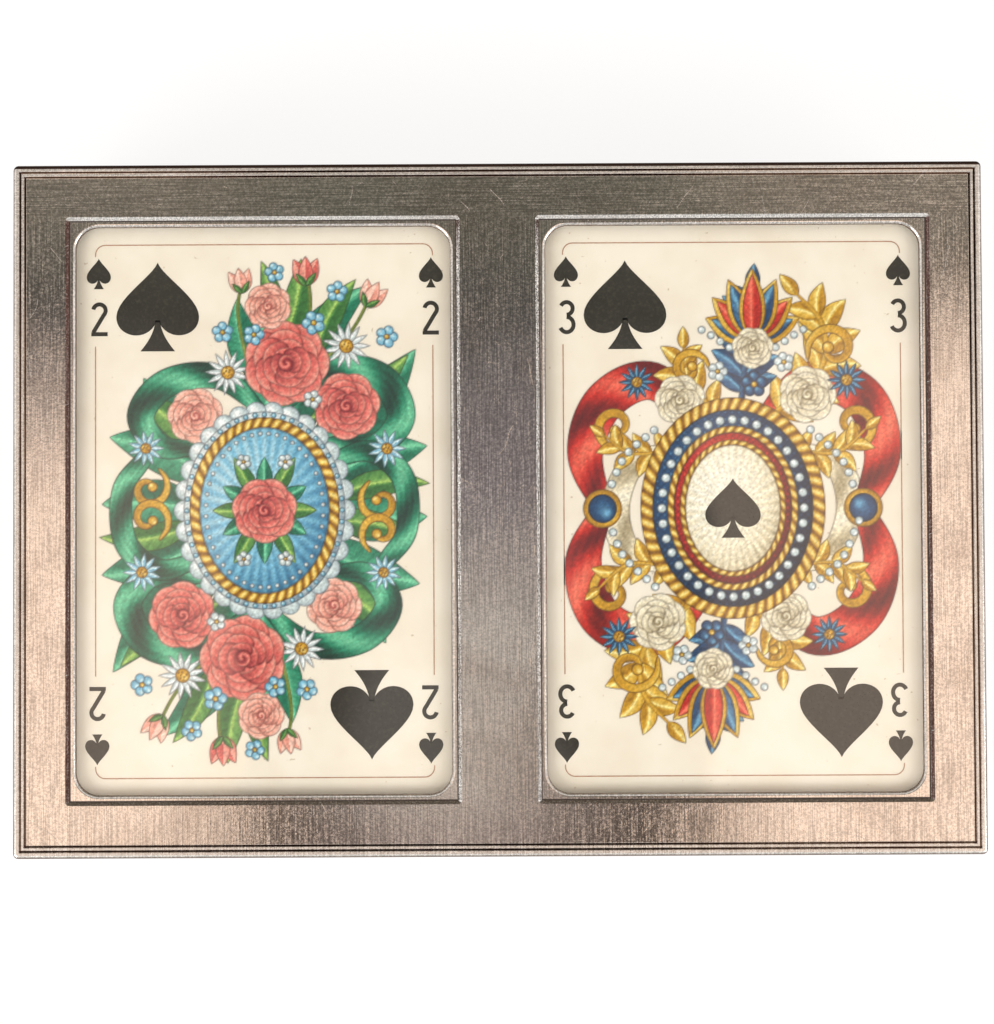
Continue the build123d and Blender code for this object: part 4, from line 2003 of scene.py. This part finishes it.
@dataclass
class Studio:
    """A plain white floor, soft light from all sides, and the photograph's camera overhead."""

    lid_top: float = 36.0
    distance: float = 420.0
    lean: float = 1.9
    roll: float = 0.29
    aim_x: float = -0.27
    aim_y: float = -0.52
    view_height: float = 155.9
    floor_half: float = 3000.0
    under_pad: Point = (66.25, 45.1)

    def camera(self) -> None:
        """A long lens over the lid, leaned a little to the front, that takes in view_height there.

        The photograph's frame is 994 x 1024, so the sensor's 36 mm are its height.
        """
        data = bpy.data.cameras.new("camera")
        data.sensor_fit = "AUTO"
        data.sensor_width = 36.0
        data.lens = 36.0 * self.distance / self.view_height
        data.clip_start, data.clip_end = 0.01, 50.0
        camera = bpy.data.objects.new("camera", data)
        bpy.context.scene.collection.objects.link(camera)
        lean = math.radians(self.lean)
        turn = Matrix.Rotation(lean, 4, "X") @ Matrix.Rotation(-math.radians(self.roll), 4, "Z")
        aim = Vector((self.aim_x, self.aim_y, self.lid_top)) * MM
        back = Vector((0.0, -math.sin(lean), math.cos(lean))) * self.distance * MM
        camera.matrix_world = Matrix.Translation(aim + back) @ turn
        bpy.context.scene.camera = camera

    def floor(self) -> None:
        """A wide white floor. The camera and shiny pieces see it white, and it keeps a soft shadow.

        It is open under the baize pad, which hides the opening, so that the pad has light from
        below.
        """
        turns = np.array([(-1.0, -1.0), (1.0, -1.0), (1.0, 1.0), (-1.0, 1.0)])
        outer, inner = turns * self.floor_half, turns * self.under_pad
        corners = np.column_stack([np.vstack([outer, inner]), np.zeros(8)]) * MM
        faces = [(i, (i + 1) % 4, (i + 1) % 4 + 4, i + 4) for i in range(4)]
        mesh = bpy.data.meshes.new("floor")
        mesh.from_pydata(corners.tolist(), [], faces)
        floor = bpy.data.objects.new("floor", mesh)
        bpy.context.scene.collection.objects.link(floor)
        made, tree = blank("white_paper_floor")
        rays = add(tree, "LightPath").outputs
        seen = maths(tree, "MAXIMUM", rays["Is Camera Ray"], rays["Is Glossy Ray"])
        seen = maths(tree, "MAXIMUM", seen, rays["Is Transmission Ray"])
        plain = add(tree, "BsdfDiffuse", {"Color": (0.8, 0.8, 0.8, 1.0)}).outputs[0]
        shade = add(tree, "BsdfDiffuse", {"Color": (0.22, 0.22, 0.22, 1.0)}).outputs[0]
        glow = add(tree, "Emission", {"Color": (1.0, 1.0, 1.0, 1.0), "Strength": 0.81}).outputs[0]
        white = add(tree, "AddShader", {0: shade, 1: glow}).outputs[0]
        both = add(tree, "MixShader", {0: seen, 1: plain, 2: white}).outputs[0]
        add(tree, "OutputMaterial", {"Surface": both})
        mesh.materials.append(made)

    def walls(self, tree: Tree, u: Socket, v: Socket) -> Socket:
        """Two warm pale walls of light beside the ceiling, which end towards the back.

        Args:
            tree: the world's tree.
            u: how far a direction leans along x for each step up.
            v: how far it leans along y for each step up.

        Returns:
            How much of what is seen that way is a wall.
        """
        left_end = remap(tree, v, 0.035, 0.105, (1.0, 0.02))
        left_end = maths(tree, "ADD", left_end, remap(tree, v, 0.132, 0.142, (0.0, 0.09)))
        left = maths(tree, "MULTIPLY", remap(tree, u, -0.1, -0.091, (1.0, 0.0)), left_end)
        right_end = remap(tree, v, 0.093, 0.105, (1.0, 0.13))
        right = maths(tree, "MULTIPLY", remap(tree, u, 0.071, 0.081), right_end)
        return maths(tree, "ADD", left, right)

    def ceiling(self, tree: Tree, u: Socket, v: Socket) -> Socket:
        """The dim ceiling, in greys that grow lighter towards the front.

        In front of its middle it is dark brown at both sides.

        Args:
            tree: the world's tree.
            u: how far a direction leans along x for each step up.
            v: how far it leans along y for each step up.

        Returns:
            The socket with the colour.
        """
        ramp = add(tree, "ValToRGB", {0: maths(tree, "DIVIDE", maths(tree, "ADD", v, 0.1), 0.26)})
        while len(ramp.color_ramp.elements) < len(CEILING):
            ramp.color_ramp.elements.new(0.5)
        for stop, (place, code) in zip(ramp.color_ramp.elements, CEILING):
            stop.position = place
            stop.color = linear(code)
        right_of = remap(tree, u, -0.066, -0.042)
        middle = maths(tree, "MULTIPLY", remap(tree, u, 0.02, 0.036, (1.0, 0.0)), right_of)
        shown = maths(tree, "MAXIMUM", middle, remap(tree, v, -0.02, 0.06))
        return blend(tree, shown, "#50453F", ramp.outputs[0])

    def overhead(self, tree: Tree, across: Socket, along: Socket) -> tuple[Socket, Socket]:
        """The room straight above, as the lid mirrors it to the camera.

        The ceiling hangs between the walls of light. A slow noise bends all edges a little.

        Args:
            tree: the world's tree.
            across: how far a direction leans along x for each step up.
            along: how far it leans along y for each step up.

        Returns:
            The colour, and how much of it is warm light.
        """
        place = add(tree, "CombineXYZ", {0: across, 1: along}).outputs[0]
        spread = add(tree, "Mapping", {"Vector": place, "Scale": (13.0, 13.0, 13.0)}).outputs[0]
        sway = maths(tree, "MULTIPLY", maths(tree, "SUBTRACT", noise(tree, spread), 0.5), 0.05)
        u, v = maths(tree, "ADD", across, sway), maths(tree, "SUBTRACT", along, sway)
        warm = self.walls(tree, u, v)
        return blend(tree, warm, self.ceiling(tree, u, v), "#FCDFCA"), warm

    def around(self, tree: Tree, z: Socket, facing: Socket) -> Socket:
        """The room below the ceiling.

        At both sides it is warm white, with a dark strip near the horizon. In front and behind it
        is white, with a grey belt half way up that is brown low down behind. The horizon itself is
        white.

        Args:
            tree: the world's tree.
            z: the height of a direction, the sine of its angle.
            facing: how far it faces the back, from -1 in front to 1 behind.

        Returns:
            The socket with the colour.
        """
        sides = blend(tree, remap(tree, z, 0.16, 0.26), "#6E4E46", "#FAF4EE")
        sides = blend(tree, remap(tree, z, 0.06, 0.1, (1.0, 0.0)), sides, "#FFFFFF")
        behind = blend(tree, remap(tree, z, 0.14, 0.3), "#6C6054", "#B4ABA2")
        behind = blend(tree, remap(tree, z, 0.45, 0.75), behind, "#F4EFEA")
        behind = blend(tree, remap(tree, z, 0.0, 0.03, (1.0, 0.0)), behind, "#FFFFFF")
        ahead = blend(tree, remap(tree, z, 0.2, 0.35), "#F8F6F4", "#B9B2AA")
        ahead = blend(tree, remap(tree, z, 0.5, 0.75), ahead, "#F8F6F4")
        back = remap(tree, facing, 0.25, 0.8)
        front = remap(tree, facing, -0.8, -0.3, (1.0, 0.0))
        return blend(tree, front, blend(tree, back, sides, behind), ahead)

    def world(self) -> None:
        """Room light by direction, and plain white for the camera.

        High up it is the ceiling that the lid mirrors. The warm light there, and the horizon at
        both sides, are brighter than white for all but the camera.
        """
        world = bpy.data.worlds.new("studio")
        bpy.context.scene.world = world
        world.use_nodes = True
        tree = world.node_tree
        tree.nodes.clear()
        x, y, z = add(tree, "SeparateXYZ", {0: add(tree, "TexCoord").outputs["Generated"]}).outputs
        up = maths(tree, "MAXIMUM", z, 0.02)
        across, along = maths(tree, "DIVIDE", x, up), maths(tree, "DIVIDE", y, up)
        overhead, warm = self.overhead(tree, across, along)
        level = maths(tree, "SQRT", maths(tree, "SUBTRACT", 1.0001, maths(tree, "MULTIPLY", z, z)))
        facing = maths(tree, "DIVIDE", y, level)
        high = remap(tree, z, 0.93, 0.972)
        tint = blend(tree, high, self.around(tree, z, facing), overhead)
        camera = add(tree, "LightPath").outputs["Is Camera Ray"]
        aloft = maths(tree, "MULTIPLY", maths(tree, "MULTIPLY", warm, high), 0.36)
        low = remap(tree, z, 0.0, 0.06, (1.9, 0.0))
        low = maths(tree, "MULTIPLY", low, remap(tree, z, -0.04, -0.02))
        beside = remap(tree, maths(tree, "ABSOLUTE", facing), 0.2, 0.5, (1.0, 0.0))
        more = maths(tree, "ADD", aloft, maths(tree, "MULTIPLY", low, beside))
        hidden = maths(tree, "MULTIPLY", more, maths(tree, "SUBTRACT", 1.0, camera))
        strength = maths(tree, "ADD", 1.0, hidden)
        seen = blend(tree, camera, tint, "#FFFFFF")
        glow = add(tree, "Background", {"Color": seen, "Strength": strength})
        add(tree, "OutputWorld", {"Surface": glow.outputs[0]})

    def lamp(
        self,
        name: str,
        place: tuple[float, float, float],
        aim: tuple[float, float, float],
        size: tuple[float, float],
        level: float,
        code: str,
    ) -> None:
        """One soft rectangular lamp.

        Args:
            name: its name.
            place: its middle, in millimetres.
            aim: the point it faces, in millimetres.
            size: its width and height, in millimetres.
            level: its brightness as a mirror shows it, where 1 is white.
            code: its colour.
        """
        data = bpy.data.lights.new(name, "AREA")
        data.shape = "RECTANGLE"
        data.size, data.size_y = size[0] * MM, size[1] * MM
        data.energy = level * math.pi * data.size * data.size_y
        data.color = linear(code)[:3]
        lamp = bpy.data.objects.new(name, data)
        bpy.context.scene.collection.objects.link(lamp)
        spot = Vector(place) * MM
        way = Vector(aim) * MM - spot
        turn = way.to_track_quat("-Z", "Y").to_matrix().to_4x4()
        lamp.matrix_world = Matrix.Translation(spot) @ turn

    def lamps(self) -> None:
        """A large soft box at the front left, and a weaker one at the front right."""
        self.lamp("key", (-900.0, -700.0, 900.0), (0.0, 0.0, 30.0), (700.0, 700.0), 6.0, "#FFFFFF")
        self.lamp("fill", (950.0, -500.0, 800.0), (0.0, 0.0, 30.0), (700.0, 700.0), 4.0, "#FFFFFF")

    def build(self) -> None:
        """Sets up camera, floor, world and lamps."""
        self.camera()
        self.floor()
        self.world()
        self.lamps()
        bpy.context.scene.view_settings.view_transform = "Standard"


def main() -> None:
    """Builds the scene piece by piece."""
    logging.basicConfig(level=logging.INFO, format="%(name)s: %(message)s")
    Studio().build()
    lid = Lid()
    lid.dress()
    lid.cards()
    Base().dress()


if __name__ == "__main__":
    main()
